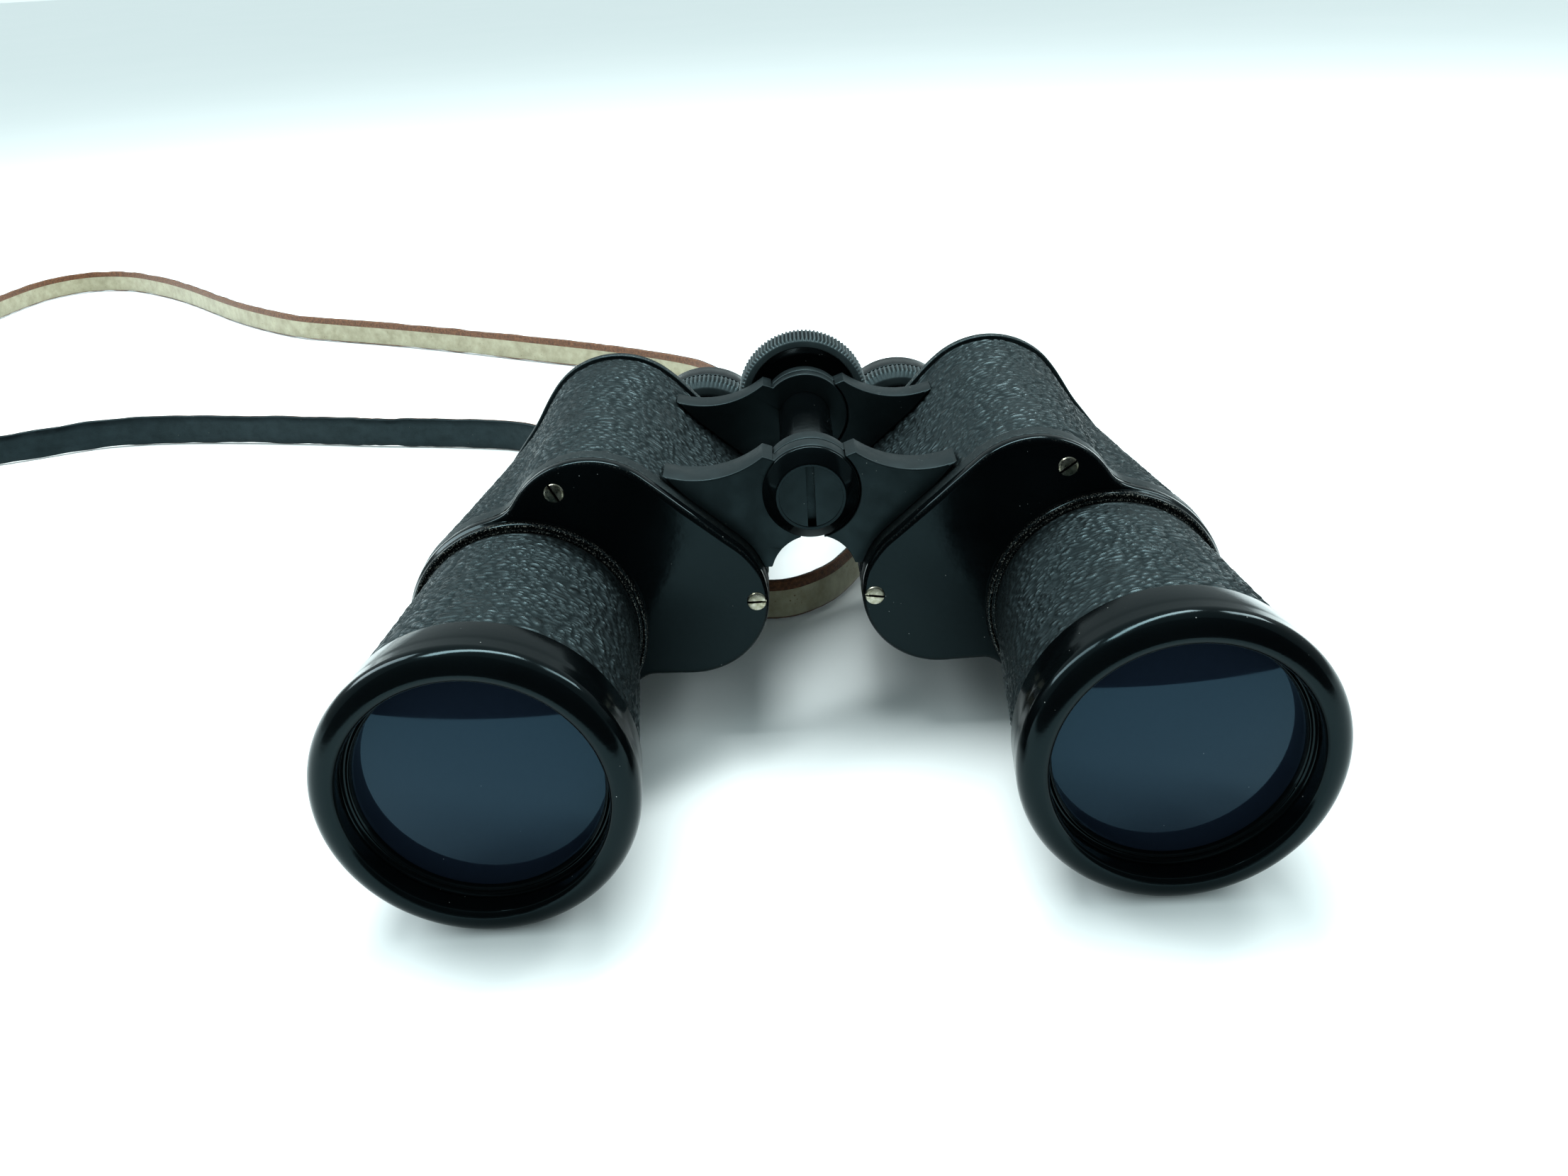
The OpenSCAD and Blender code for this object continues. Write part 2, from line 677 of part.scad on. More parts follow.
on_right() prism_housing();  // prism_housing_right
on_left() prism_housing();  // prism_housing_left
on_right() front_arm(true, axle_r);  // hinge_arm_front_right
on_left() front_arm(false, axle_r + run_gap);  // hinge_arm_front_left
on_right() rear_arm(true, axle_r);  // hinge_arm_rear_right
on_left() rear_arm(false, axle_r + run_gap);  // hinge_arm_rear_left
on_right() housing_leatherette();  // housing_leatherette_right
on_left() housing_leatherette();  // housing_leatherette_left
on_right() front_cover();  // front_cover_right
on_left() front_cover();  // front_cover_left
on_right() rear_cover();  // rear_cover_right
on_left() rear_cover();  // rear_cover_left
on_right() cover_screws();  // cover_screws_right
on_left() cover_screws();  // cover_screws_left
on_right() objective_tube();  // objective_tube_right
on_left() objective_tube();  // objective_tube_left
on_right() tube_leatherette();  // tube_leatherette_right
on_left() tube_leatherette();  // tube_leatherette_left
on_right() objective_hood();  // objective_hood_right
on_left() objective_hood();  // objective_hood_left
on_right() objective_cell();  // objective_cell_right
on_left() objective_cell();  // objective_cell_left
on_right() objective_lens();  // objective_lens_right
on_left() objective_lens();  // objective_lens_left
on_right() prism_shelf();  // prism_shelf_right
on_left() prism_shelf();  // prism_shelf_left
on_right() front_prism();  // front_prism_right
on_left() front_prism();  // front_prism_left
on_right() rear_prism();  // rear_prism_right
on_left() rear_prism();  // rear_prism_left
on_right() prism_clips();  // prism_clips_right
on_left() prism_clips();  // prism_clips_left
on_right() eyepiece_guide();  // eyepiece_guide_right
on_left() eyepiece_guide();  // eyepiece_guide_left
on_right() eyepiece_barrel();  // eyepiece_barrel_right
on_left() eyepiece_barrel();  // eyepiece_barrel_left
on_right() ocular_cell();  // ocular_cell_right
on_left() ocular_cell();  // ocular_cell_left
on_right() ocular_lenses();  // ocular_lenses_right
on_left() ocular_lenses();  // ocular_lenses_left
on_right() eyepiece_ring(run_gap);  // dioptre_ring
on_left() eyepiece_ring(0);  // eyepiece_ring_left
on_right() eyecup();  // eyecup_right
on_left() eyecup();  // eyecup_left
on_right() strap_lug();  // strap_lug_right
on_left() strap_lug();  // strap_lug_left
hinge_axle();
hinge_tube();
hinge_cap();
hinge_washers();
focus_wheel();
focus_spindle();
on_right() bridge_arm(bridge_y, spindle_r);  // bridge_arm_right
on_left() bridge_arm(bridge_y + bridge_t + pass_gap / 2, spindle_r + run_gap);  // bridge_arm_left
bridge_cap();
on_right() strap_end();  // strap_end_right
on_left() strap_end();  // strap_end_left
neck_strap();
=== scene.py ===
"""Prism binoculars with a leather neck strap: the looks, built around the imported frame.

Lengths in this script are millimetres until a mesh is made, and MM turns them into metres.
Each barrel is described about its objective axis, with u towards the hinge and z up.
"""

import bmesh
import bpy
import numpy as np
from mathutils import Matrix, Vector


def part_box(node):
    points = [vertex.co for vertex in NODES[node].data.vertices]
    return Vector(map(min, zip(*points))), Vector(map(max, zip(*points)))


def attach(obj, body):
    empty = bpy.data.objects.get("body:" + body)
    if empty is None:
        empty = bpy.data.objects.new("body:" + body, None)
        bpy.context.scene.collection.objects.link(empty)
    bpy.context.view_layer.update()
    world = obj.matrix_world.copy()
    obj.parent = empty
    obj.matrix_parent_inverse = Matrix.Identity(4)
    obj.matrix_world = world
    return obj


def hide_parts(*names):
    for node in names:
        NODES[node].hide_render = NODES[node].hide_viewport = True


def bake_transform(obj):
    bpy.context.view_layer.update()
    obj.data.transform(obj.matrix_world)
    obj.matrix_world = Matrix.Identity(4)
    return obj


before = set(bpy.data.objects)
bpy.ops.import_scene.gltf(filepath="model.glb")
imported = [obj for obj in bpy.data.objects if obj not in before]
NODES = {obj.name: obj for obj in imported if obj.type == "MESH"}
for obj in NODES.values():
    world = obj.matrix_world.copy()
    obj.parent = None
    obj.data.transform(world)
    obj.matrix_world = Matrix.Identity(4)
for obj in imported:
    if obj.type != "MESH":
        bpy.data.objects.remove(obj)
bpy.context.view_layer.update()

MM = 0.001
SIDES = ("right", "left")
BARREL = {"right": "right_barrel", "left": "left_barrel"}
OCULAR = {"right": "right_ocular", "left": "left_ocular"}


def box_mm(node):
    """Lowest and highest corner of a CAD node in millimetres."""
    low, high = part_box(node)
    return np.array(low) / MM, np.array(high) / MM


def centre_mm(node):
    low, high = box_mm(node)
    return (low + high) / 2


def turned_size(node):
    """Radius, front and rear of a CAD node that is turned about a line along Y."""
    low, high = box_mm(node)
    return (high[0] - low[0]) / 2, low[1], high[1]


# ---------------------------------------------------------------- places from the frame

AXIS = {s: centre_mm(f"objective_hood_{s}")[[0, 2]] for s in SIDES}
EYE = {s: centre_mm(f"eyecup_{s}")[[0, 2]] for s in SIDES}
TOWARDS_HINGE = {"right": 1.0, "left": -1.0}
HINGE = (0.0, centre_mm("hinge_tube")[2])

RIM_R, FRONT_Y, _ = turned_size("objective_hood_right")
TUBE_Y0, TUBE_Y1 = (box_mm("tube_leatherette_right")[i][1] for i in (0, 1))
COVER_Y0, COVER_Y1 = (box_mm("front_cover_right")[i][1] for i in (0, 1))
LEATHER_Y0, LEATHER_Y1 = (box_mm("housing_leatherette_right")[i][1] for i in (0, 1))

PLATE_T = 3.0  # front cover's plate
PLATE_Y = COVER_Y1 - PLATE_T
CORE = np.array([22.0, 8.0])  # point inside the housing that its outline is measured from
OUTLINE_POINTS = 240
ON_RING = 0.02  # how near to a plane a CAD point lies to count as on it
SKIN = 0.8  # thickness of the leatherette
AXLE_HOLE_R = 4.1


# ---------------------------------------------------------------- camera, light and floor

IMAGE_W = 2212
FOCAL_PIXELS = 1945.9
SENSOR_MM = 36.0
CAMERA_MM = (-3.62, -327.56, 181.46)
PITCH, ROLL, YAW = -0.445, 0.057, 0.013

SKY = (0.84, 0.985, 1.0, 1)
SKY_STRENGTH = 0.88
SKY_IN_REFLECTIONS = 0.42

FLOOR_SIZE = 14
SCREEN_SIZE = (0.9, 0.52, 1)


def make_camera():
    data = bpy.data.cameras.new("camera")
    data.sensor_width = SENSOR_MM
    data.lens = FOCAL_PIXELS / IMAGE_W * SENSOR_MM
    camera = bpy.data.objects.new("camera", data)
    bpy.context.scene.collection.objects.link(camera)
    turn = Matrix.Rotation(YAW, 4, "Z") @ Matrix.Rotation(PITCH, 4, "X") @ Matrix.Rotation(ROLL, 4, "Y")
    look = Matrix.Rotation(np.pi / 2, 4, "X")
    camera.matrix_world = Matrix.Translation(Vector(CAMERA_MM) * MM) @ turn @ look
    bpy.context.scene.camera = camera


def area_light(name, place, aim, size, power, colour):
    data = bpy.data.lights.new(name, "AREA")
    data.shape = "RECTANGLE"
    data.size, data.size_y = size
    data.energy = power
    data.color = colour
    light = bpy.data.objects.new(name, data)
    light.location = place
    light.rotation_euler = (Vector(aim) - Vector(place)).to_track_quat("-Z", "Y").to_euler()
    bpy.context.scene.collection.objects.link(light)


def make_world():
    """An even sky, dimmer in reflections so that gloss stays dark."""
    world = bpy.data.worlds.new("studio")
    world.use_nodes = True
    tree = world.node_tree
    background = tree.nodes["Background"]
    background.inputs["Color"].default_value = SKY
    path = tree.nodes.new("ShaderNodeLightPath")
    strength = tree.nodes.new("ShaderNodeMapRange")
    strength.inputs["To Min"].default_value = SKY_STRENGTH
    strength.inputs["To Max"].default_value = SKY_IN_REFLECTIONS
    tree.links.new(path.outputs["Is Glossy Ray"], strength.inputs["Value"])
    tree.links.new(strength.outputs["Result"], background.inputs["Strength"])
    bpy.context.scene.world = world
    bpy.context.scene.view_settings.view_transform = "Standard"
    bpy.context.scene.view_settings.look = "Medium High Contrast"


def make_stage():
    """A wide pale sheet, and a dark screen behind the camera that only reflections see."""
    bpy.ops.mesh.primitive_plane_add(size=FLOOR_SIZE, location=(0, 3.0, -0.0002))
    floor = bpy.context.object
    floor.name = "floor"
    floor.data.materials.append(MAT["floor"])
    bpy.ops.mesh.primitive_plane_add(size=1, location=(0, -0.215, 0.26))
    screen = bpy.context.object
    screen.name = "dark_screen"
    screen.scale = SCREEN_SIZE
    screen.rotation_euler = (np.radians(90), 0, 0)
    screen.data.materials.append(MAT["screen"])
    screen.visible_camera = False
    screen.visible_diffuse = False
    screen.visible_shadow = False


# ---------------------------------------------------------------- materials

COLOUR_A, COLOUR_B, COLOUR_OUT = 6, 7, 2  # colour sockets of the Mix node


class Surface:
    """A Principled material, and the few node shorthands that its looks need."""

    def __init__(self, name, colour, roughness, metallic=0.0, **sockets):
        self.material = bpy.data.materials.new(name)
        self.material.use_nodes = True
        self.tree = self.material.node_tree
        self.shader = self.tree.nodes["Principled BSDF"]
        self.shader.inputs["Base Color"].default_value = (*colour, 1)
        self.shader.inputs["Roughness"].default_value = roughness
        self.shader.inputs["Metallic"].default_value = metallic
        for socket, value in sockets.items():
            self.shader.inputs[socket.replace("_", " ")].default_value = value
        self.place = self.tree.nodes.new("ShaderNodeTexCoord").outputs["Object"]

    def link(self, source, target):
        self.tree.links.new(source, target)

    def noise(self, size_mm, detail=3.0, roughness=0.5):
        node = self.tree.nodes.new("ShaderNodeTexNoise")
        node.inputs["Scale"].default_value = 1 / (size_mm * MM)
        node.inputs["Detail"].default_value = detail
        node.inputs["Roughness"].default_value = roughness
        self.link(self.place, node.inputs["Vector"])
        return node.outputs["Fac"]

    def cells(self, size_mm, feature="F1"):
        node = self.tree.nodes.new("ShaderNodeTexVoronoi")
        node.feature = feature
        node.inputs["Scale"].default_value = 1 / (size_mm * MM)
        self.link(self.place, node.inputs["Vector"])
        return node.outputs["Distance"]

    def attribute(self, name):
        node = self.tree.nodes.new("ShaderNodeAttribute")
        node.attribute_name = name
        return node.outputs["Fac"]

    def ramp(self, source, low, high, value_low=0.0, value_high=1.0):
        node = self.tree.nodes.new("ShaderNodeMapRange")
        node.inputs["From Min"].default_value = low
        node.inputs["From Max"].default_value = high
        node.inputs["To Min"].default_value = value_low
        node.inputs["To Max"].default_value = value_high
        self.link(source, node.inputs["Value"])
        return node.outputs["Result"]

    def math(self, operation, a, b):
        node = self.tree.nodes.new("ShaderNodeMath")
        node.operation = operation
        for socket, value in zip(node.inputs, (a, b)):
            if isinstance(value, (int, float)):
                socket.default_value = value
            else:
                self.link(value, socket)
        return node.outputs["Value"]

    def blend_colour(self, factor, a, b):
        node = self.tree.nodes.new("ShaderNodeMix")
        node.data_type = "RGBA"
        self.link(factor, node.inputs["Factor"])
        for socket, value in ((node.inputs[COLOUR_A], a), (node.inputs[COLOUR_B], b)):
            if isinstance(value, tuple):
                socket.default_value = (*value, 1)
            else:
                self.link(value, socket)
        return node.outputs[COLOUR_OUT]

    def set_colour(self, source):
        self.link(source, self.shader.inputs["Base Color"])

    def set_roughness(self, source):
        self.link(source, self.shader.inputs["Roughness"])

    def bump(self, height, depth_mm, strength=1.0):
        node = self.tree.nodes.new("ShaderNodeBump")
        node.inputs["Strength"].default_value = strength
        node.inputs["Distance"].default_value = depth_mm * MM
        self.link(height, node.inputs["Height"])
        if self.shader.inputs["Normal"].is_linked:
            self.link(self.shader.inputs["Normal"].links[0].from_socket, node.inputs["Normal"])
        self.link(node.outputs["Normal"], self.shader.inputs["Normal"])


TEAL = (0.62, 0.92, 1.0, 1)


def dust(surface, colour, size_mm=2.6, threshold=0.055, tint=(0.30, 0.31, 0.30)):
    """Sparse pale specks over a colour."""
    speck = surface.ramp(surface.cells(size_mm), threshold, threshold * 0.6)
    patchy = surface.ramp(surface.noise(14), 0.52, 0.60)
    return surface.blend_colour(surface.math("MULTIPLY", speck, patchy), colour, tint)


def worn(surface, colour, tint, low=0.54, high=0.64):
    """Paint rubbed off in flecks where the mesh says that it is worn."""
    flecks = surface.ramp(surface.noise(0.4, 4), low, high)
    return surface.blend_colour(surface.math("MULTIPLY", surface.attribute("wear"), flecks), colour, tint)


def enamel():
    s = Surface("gloss_enamel", (0.0045, 0.0055, 0.006), 0.12, Specular_IOR_Level=0.24, Specular_Tint=TEAL)
    base = s.blend_colour(s.ramp(s.noise(30), 0.35, 0.7), (0.0015, 0.0022, 0.0026), (0.003, 0.0045, 0.005))
    s.set_colour(worn(s, dust(s, base), (0.34, 0.33, 0.29)))
    s.set_roughness(s.ramp(s.noise(9, 4), 0.3, 0.75, 0.09, 0.2))
    s.bump(s.noise(1.6, 2), 0.012)
    return s.material


def satin():
    s = Surface("satin_paint", (0.02, 0.022, 0.023), 0.42, Specular_IOR_Level=0.4, Specular_Tint=TEAL)
    base = s.blend_colour(s.ramp(s.noise(18), 0.35, 0.7), (0.005, 0.0072, 0.0078), (0.010, 0.0135, 0.0142))
    s.set_colour(worn(s, dust(s, base, 1.7, 0.075, (0.22, 0.225, 0.21)), (0.20, 0.205, 0.19)))
    s.set_roughness(s.ramp(s.noise(5, 4), 0.3, 0.7, 0.33, 0.52))
    s.bump(s.noise(0.5, 3), 0.02, 0.6)
    return s.material


def leatherette():
    s = Surface("leatherette", (0.012, 0.0135, 0.014), 0.5, Specular_IOR_Level=0.5, Specular_Tint=TEAL)
    raised = s.attribute("raised")
    # The base colour is near black in the creases and lighter on the pebbles: painted shade in the creases.
    base = s.blend_colour(raised, (0.0002, 0.0003, 0.0003), (0.010, 0.0125, 0.013))
    s.set_colour(dust(s, base, 3.1, 0.045, (0.16, 0.17, 0.165)))
    polished = s.ramp(raised, 0.2, 0.9, 0.8, 0.27)
    s.set_roughness(s.math("ADD", polished, s.ramp(s.noise(0.35, 3), 0.3, 0.7, -0.05, 0.07)))
    s.bump(s.noise(0.42, 3, 0.5), 0.05, 0.5)
    return s.material


def nickel():
    s = Surface("aged_nickel", (0.42, 0.41, 0.34), 0.32, 1.0)
    tarnish = s.ramp(s.noise(1.1, 4), 0.38, 0.68)
    s.set_colour(s.blend_colour(tarnish, (0.30, 0.29, 0.21), (0.56, 0.55, 0.47)))
    s.set_roughness(s.ramp(s.noise(0.5, 3), 0.3, 0.7, 0.22, 0.45))
    s.bump(s.noise(0.25, 2), 0.01)
    return s.material


def baffle():
    s = Surface("baffle_black", (0.006, 0.007, 0.007), 0.3, Specular_IOR_Level=0.35, Specular_Tint=TEAL)
    s.set_colour(dust(s, s.blend_colour(s.noise(6), (0.0015, 0.002, 0.002), (0.004, 0.005, 0.005))))
    s.set_roughness(s.ramp(s.noise(4, 4), 0.3, 0.7, 0.26, 0.45))
    return s.material


def coated_glass():
    s = Surface("coated_glass", (0.008, 0.013, 0.022), 0.03, IOR=1.45, Specular_Tint=(0.40, 0.76, 1.0, 1))
    s.set_colour(dust(s, (0.008, 0.0125, 0.021), 4.2, 0.03, (0.22, 0.24, 0.26)))
    s.set_roughness(s.ramp(s.noise(12, 3), 0.35, 0.75, 0.02, 0.06))
    return s.material


def prism_glass():
    s = Surface("prism_glass", (0.80, 0.87, 0.89), 0.03, IOR=1.57, Transmission_Weight=0.85)
    s.set_roughness(s.ramp(s.noise(8, 2), 0.3, 0.7, 0.01, 0.05))
    return s.material


def cast_alloy():
    s = Surface("cast_alloy", (0.42, 0.43, 0.43), 0.45, 1.0)
    s.set_colour(s.blend_colour(s.noise(3, 4), (0.33, 0.34, 0.34), (0.52, 0.52, 0.51)))
    s.set_roughness(s.ramp(s.noise(1, 3), 0.3, 0.7, 0.36, 0.58))
    s.bump(s.noise(0.6, 3), 0.04)
    return s.material


def ground_steel():
    s = Surface("ground_steel", (0.45, 0.45, 0.46), 0.28, 1.0)
    s.set_colour(s.blend_colour(s.noise(2, 4), (0.36, 0.36, 0.37), (0.54, 0.54, 0.54)))
    s.set_roughness(s.ramp(s.noise(0.6, 3), 0.3, 0.7, 0.2, 0.4))
    return s.material


def eyecup_plastic():
    s = Surface("eyecup_plastic", (0.008, 0.008, 0.009), 0.22, Specular_IOR_Level=0.4, Specular_Tint=TEAL)
    s.set_colour(dust(s, s.blend_colour(s.noise(16), (0.006, 0.0065, 0.007), (0.012, 0.0125, 0.013))))
    s.set_roughness(s.ramp(s.noise(7, 4), 0.3, 0.75, 0.16, 0.34))
    s.bump(s.noise(0.9, 2), 0.01)
    return s.material


def knurled_metal():
    s = Surface("knurled_metal", (0.05, 0.055, 0.058), 0.42, Specular_IOR_Level=0.45, Specular_Tint=TEAL)
    base = s.blend_colour(s.noise(5, 4), (0.030, 0.040, 0.042), (0.065, 0.080, 0.083))
    # The grooves between the teeth are painted near black and the crests keep the metal's tone: painted shade
    # in the grooves.
    s.set_colour(s.blend_colour(s.attribute("raised"), (0.002, 0.003, 0.003), base))
    s.set_roughness(s.ramp(s.noise(1.5, 3), 0.3, 0.7, 0.34, 0.55))
    return s.material


def washer_brass():
    s = Surface("washer_brass", (0.55, 0.40, 0.19), 0.3, 1.0)
    s.set_colour(s.blend_colour(s.noise(2, 3), (0.46, 0.33, 0.15), (0.62, 0.47, 0.25)))
    s.set_roughness(s.ramp(s.noise(1, 3), 0.3, 0.7, 0.24, 0.42))
    return s.material


def strap_outside():
    s = Surface("strap_black", (0.014, 0.016, 0.018), 0.42, Specular_IOR_Level=0.35, Specular_Tint=TEAL)
    scuffs = s.ramp(s.noise(11, 4), 0.35, 0.7)
    base = s.blend_colour(scuffs, (0.0035, 0.005, 0.0058), (0.009, 0.0125, 0.0145))
    s.set_colour(dust(s, base, 2.2, 0.05, (0.19, 0.17, 0.14)))
    s.set_roughness(s.ramp(s.noise(2.5, 4), 0.3, 0.7, 0.34, 0.56))
    s.bump(s.cells(0.55), 0.05, 0.5)
    s.bump(s.noise(3.5, 3), 0.12, 0.4)
    return s.material


def strap_inside():
    s = Surface("strap_buff", (0.43, 0.40, 0.30), 0.85, Sheen_Weight=0.25, Sheen_Roughness=0.5)
    base = s.blend_colour(s.ramp(s.noise(5, 5, 0.6), 0.32, 0.72), (0.25, 0.23, 0.155), (0.38, 0.36, 0.26))
    pits = s.math("MULTIPLY", s.ramp(s.cells(1.5), 0.20, 0.10), s.ramp(s.noise(4, 3), 0.52, 0.66))
    s.set_colour(s.blend_colour(pits, base, (0.13, 0.085, 0.045)))
    s.bump(s.noise(0.5, 5, 0.65), 0.18, 0.8)
    return s.material


def strap_edge():
    s = Surface("strap_brown_edge", (0.22, 0.085, 0.03), 0.8, Sheen_Weight=0.2, Sheen_Roughness=0.5)
    fibres = s.ramp(s.noise(1.1, 5, 0.65), 0.32, 0.72)
    s.set_colour(s.blend_colour(fibres, (0.055, 0.021, 0.009), (0.19, 0.082, 0.034)))
    s.bump(s.noise(0.45, 5, 0.7), 0.25, 1.0)
    return s.material


def thread():
    s = Surface("strap_thread", (0.30, 0.27, 0.20), 0.8)
    s.set_colour(s.blend_colour(s.noise(0.5, 3), (0.22, 0.19, 0.13), (0.38, 0.35, 0.27)))
    s.bump(s.noise(0.2, 2), 0.04)
    return s.material


def floor_white():
    s = Surface("floor_white", (0.86, 0.89, 0.89), 0.55)
    s.set_colour(s.blend_colour(s.noise(260, 2), (0.85, 0.885, 0.885), (0.88, 0.905, 0.905)))
    return s.material


def screen_dark():
    return Surface("screen_dark", (0.010, 0.011, 0.014), 0.9).material


MAT = {
    "satin_paint": satin(),
    "leatherette": leatherette(),
    "gloss_paint": enamel(),
    "nickel_screw": nickel(),
    "baffle_black": baffle(),
    "coated_glass": coated_glass(),
    "prism_glass": prism_glass(),
    "bare_alloy": cast_alloy(),
    "spring_steel": ground_steel(),
    "eyecup_plastic": eyecup_plastic(),
    "knurled_metal": knurled_metal(),
    "washer_brass": washer_brass(),
    "strap_leather": strap_outside(),
    "strap_buff": strap_inside(),
    "strap_edge": strap_edge(),
    "thread": thread(),
    "floor": floor_white(),
    "screen": screen_dark(),
}


# ---------------------------------------------------------------- mesh building


def new_piece(name, points_mm, faces, slot, body, replaces=(), materials=None, face_slots=None, sharp=40):
    """A smooth mesh piece from points in millimetres, riding on a body."""
    mesh = bpy.data.meshes.new(name)
    mesh.from_pydata((np.asarray(points_mm) * MM).tolist(), [], faces)
    made = bmesh.new()
    made.from_mesh(mesh)
    bmesh.ops.recalc_face_normals(made, faces=made.faces)
    made.to_mesh(mesh)
    made.free()
    mesh.polygons.foreach_set("use_smooth", [True] * len(mesh.polygons))
    if sharp:
        mesh.set_sharp_from_angle(angle=np.radians(sharp))
    for material in materials or [MAT[slot]]:
        mesh.materials.append(material)
    if face_slots is not None:
        mesh.polygons.foreach_set("material_index", face_slots)
    piece = bpy.data.objects.new(name, mesh)
    bpy.context.scene.collection.objects.link(piece)
    if body:
        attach(piece, body)
    if replaces:
        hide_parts(*replaces)
    return piece


def paint(piece, name, values):
    """Stores one number for each vertex, which a material reads by name."""
    layer = piece.data.attributes.new(name, "FLOAT", "POINT")
    layer.data.foreach_set("value", np.asarray(values, np.float32).ravel())


def weight_normals(piece):
    shade = piece.modifiers.new("weighted normals", "WEIGHTED_NORMAL")
    shade.keep_sharp = True
    shade.weight = 80


def spline(a, b, c, d, t):
    """Value at t between b and c on a smooth curve through a, b, c and d."""
    return b + 0.5 * t * (c - a + t * (2 * a - 5 * b + 4 * c - d + t * (3 * (b - c) + d - a)))


def turned_faces(turns, n):
    """Quads of a closed outline of n points that is turned all the way round."""
    return [
        (i * n + k, i * n + (k + 1) % n, ((i + 1) % turns) * n + (k + 1) % n, ((i + 1) % turns) * n + k)
        for i in range(turns)
        for k in range(n)
    ]


def tube_faces(rings, sides):
    """Faces of a closed tube: its two flat ends, then a quad for each side of each step."""
    last = (rings - 1) * sides
    faces = [tuple(range(sides)), tuple(last + k for k in range(sides))]
    for i in range(rings - 1):
        for k in range(sides):
            q = (k + 1) % sides
            faces.append((i * sides + k, i * sides + q, (i + 1) * sides + q, (i + 1) * sides + k))
    return faces


def rounded(profile, steps=4):
    """A closed outline of (r, y, fillet, wear) with each corner cut by a small arc: points and wear."""
    points, wear = [], []
    n = len(profile)
    for i, (r, y, fillet, worn_by) in enumerate(profile):
        corner = np.array([r, y])
        before = np.array(profile[i - 1][:2]) - corner
        after = np.array(profile[(i + 1) % n][:2]) - corner
        reach = min(fillet, 0.45 * np.linalg.norm(before), 0.45 * np.linalg.norm(after))
        if reach <= 0:
            points.append(corner)
            wear.append(worn_by)
            continue
        a = corner + before / np.linalg.norm(before) * reach
        b = corner + after / np.linalg.norm(after) * reach
        for k in range(steps + 1):
            t = k / steps
            points.append((1 - t) ** 2 * a + 2 * t * (1 - t) * corner + t**2 * b)
            wear.append(worn_by)
    return np.array(points), np.array(wear, float)


def lathe(name, centre, points, slot, body, replaces=(), wear=None, turns=160, **options):
    """A closed outline of (radius, y) turned about a line along Y through centre (x, z)."""
    points = np.asarray(points, float)
    n = len(points)
    angles = np.arange(turns) * 2 * np.pi / turns
    ring = np.stack([np.cos(angles), np.zeros(turns), np.sin(angles)], axis=1)
    vertices = points[None, :, 0, None] * ring[:, None, :]
    vertices[:, :, 1] = points[None, :, 1]
    vertices = vertices.reshape(-1, 3) + np.array([centre[0], 0, centre[1]])
    piece = new_piece(name, vertices, turned_faces(turns, n), slot, body, replaces, **options)
    if wear is not None:
        paint(piece, "wear", np.tile(wear, turns))
    return piece


TOOTH = (0, 0.25, 0.85, 1, 0.85, 0.25)  # height along one tooth
TOOTH_DEPTH = 0.6


def knurled(name, centre, profile, teeth, body, node):
    """A turned metal ring whose (r, y, fillet, cut) profile has teeth cut in it where cut is 1."""
    points, cut = rounded(profile, 2)
    n, turns = len(points), teeth * len(TOOTH)
    tooth = np.array(TOOTH)[np.arange(turns) % len(TOOTH)]
    angles = np.arange(turns) * 2 * np.pi / turns
    radius = points[None, :, 0] - TOOTH_DEPTH * (1 - tooth[:, None]) * cut[None, :]
    x = centre[0] + radius * np.cos(angles)[:, None]
    z = centre[1] + radius * np.sin(angles)[:, None]
    y = np.broadcast_to(points[None, :, 1], x.shape)
    vertices = np.stack([x, y, z], axis=2).reshape(-1, 3)
    piece = new_piece(name, vertices, turned_faces(turns, n), "knurled_metal", body, [node], sharp=32)
    # raised is 0 in the grooves between the teeth, where the knurled metal paints shade.
    paint(piece, "raised", 1 - (1 - tooth[:, None]) * cut[None, :])


def arc_points(centre, radius, start, end, steps):
    angles = np.radians(np.linspace(start, end, steps + 1))
    return [(centre[0] + radius * np.cos(a), centre[1] + radius * np.sin(a)) for a in angles]


def ring_stack(name, rings, slot, body, replaces=(), wear=None, **options):
    """Rings of points, each joined to the next, with flat ends: a closed solid."""
    n = len(rings[0])
    faces = tube_faces(len(rings), n)
    piece = new_piece(name, np.concatenate(rings), faces, slot, body, replaces, **options)
    if wear is not None:
        paint(piece, "wear", np.repeat(wear, n))
    return piece


# ---------------------------------------------------------------- housing outline from the frame


def outline_radii(side, y):
    """Distance from the core to the outside of the leatherette's end ring at y, by angle."""
    points = np.array([v.co for v in NODES[f"housing_leatherette_{side}"].data.vertices]) / MM
    points = points[abs(points[:, 1] - y) < ON_RING]
    u = (points[:, 0] - AXIS[side][0]) * TOWARDS_HINGE[side] - CORE[0]
    z = points[:, 2] - AXIS[side][1] - CORE[1]
    angle = np.round(np.degrees(np.arctan2(z, u)) % 360, 1)
    radius = np.hypot(u, z)
    angles = np.array(sorted(set(angle)))
    return angles, np.array([radius[angle == a].max() for a in angles])


def smooth_outline(side, y, at):
    """Those radii at any angles in degrees, on a smooth closed curve."""
    angles, radii = outline_radii(side, y)
    n = len(angles)
    place = np.interp(at, np.concatenate([angles - 360, angles, angles + 360]), np.arange(-n, 2 * n))
    i = np.floor(place).astype(int)
    return spline(*(radii[(i + k) % n] for k in (-1, 0, 1, 2)), place - i)


def even_angles(side, count):
    """Angles about the core, in degrees, evenly spaced along the front outline."""
    fine = np.linspace(0, 360, 4001)
    radii = smooth_outline(side, LEATHER_Y0, fine)
    line = np.stack([radii * np.cos(np.radians(fine)), radii * np.sin(np.radians(fine))], axis=1)
    run = np.concatenate([[0], np.cumsum(np.linalg.norm(np.diff(line, axis=0), axis=1))])
    return np.interp(np.arange(count) / count * run[-1], run, fine), run[-1]


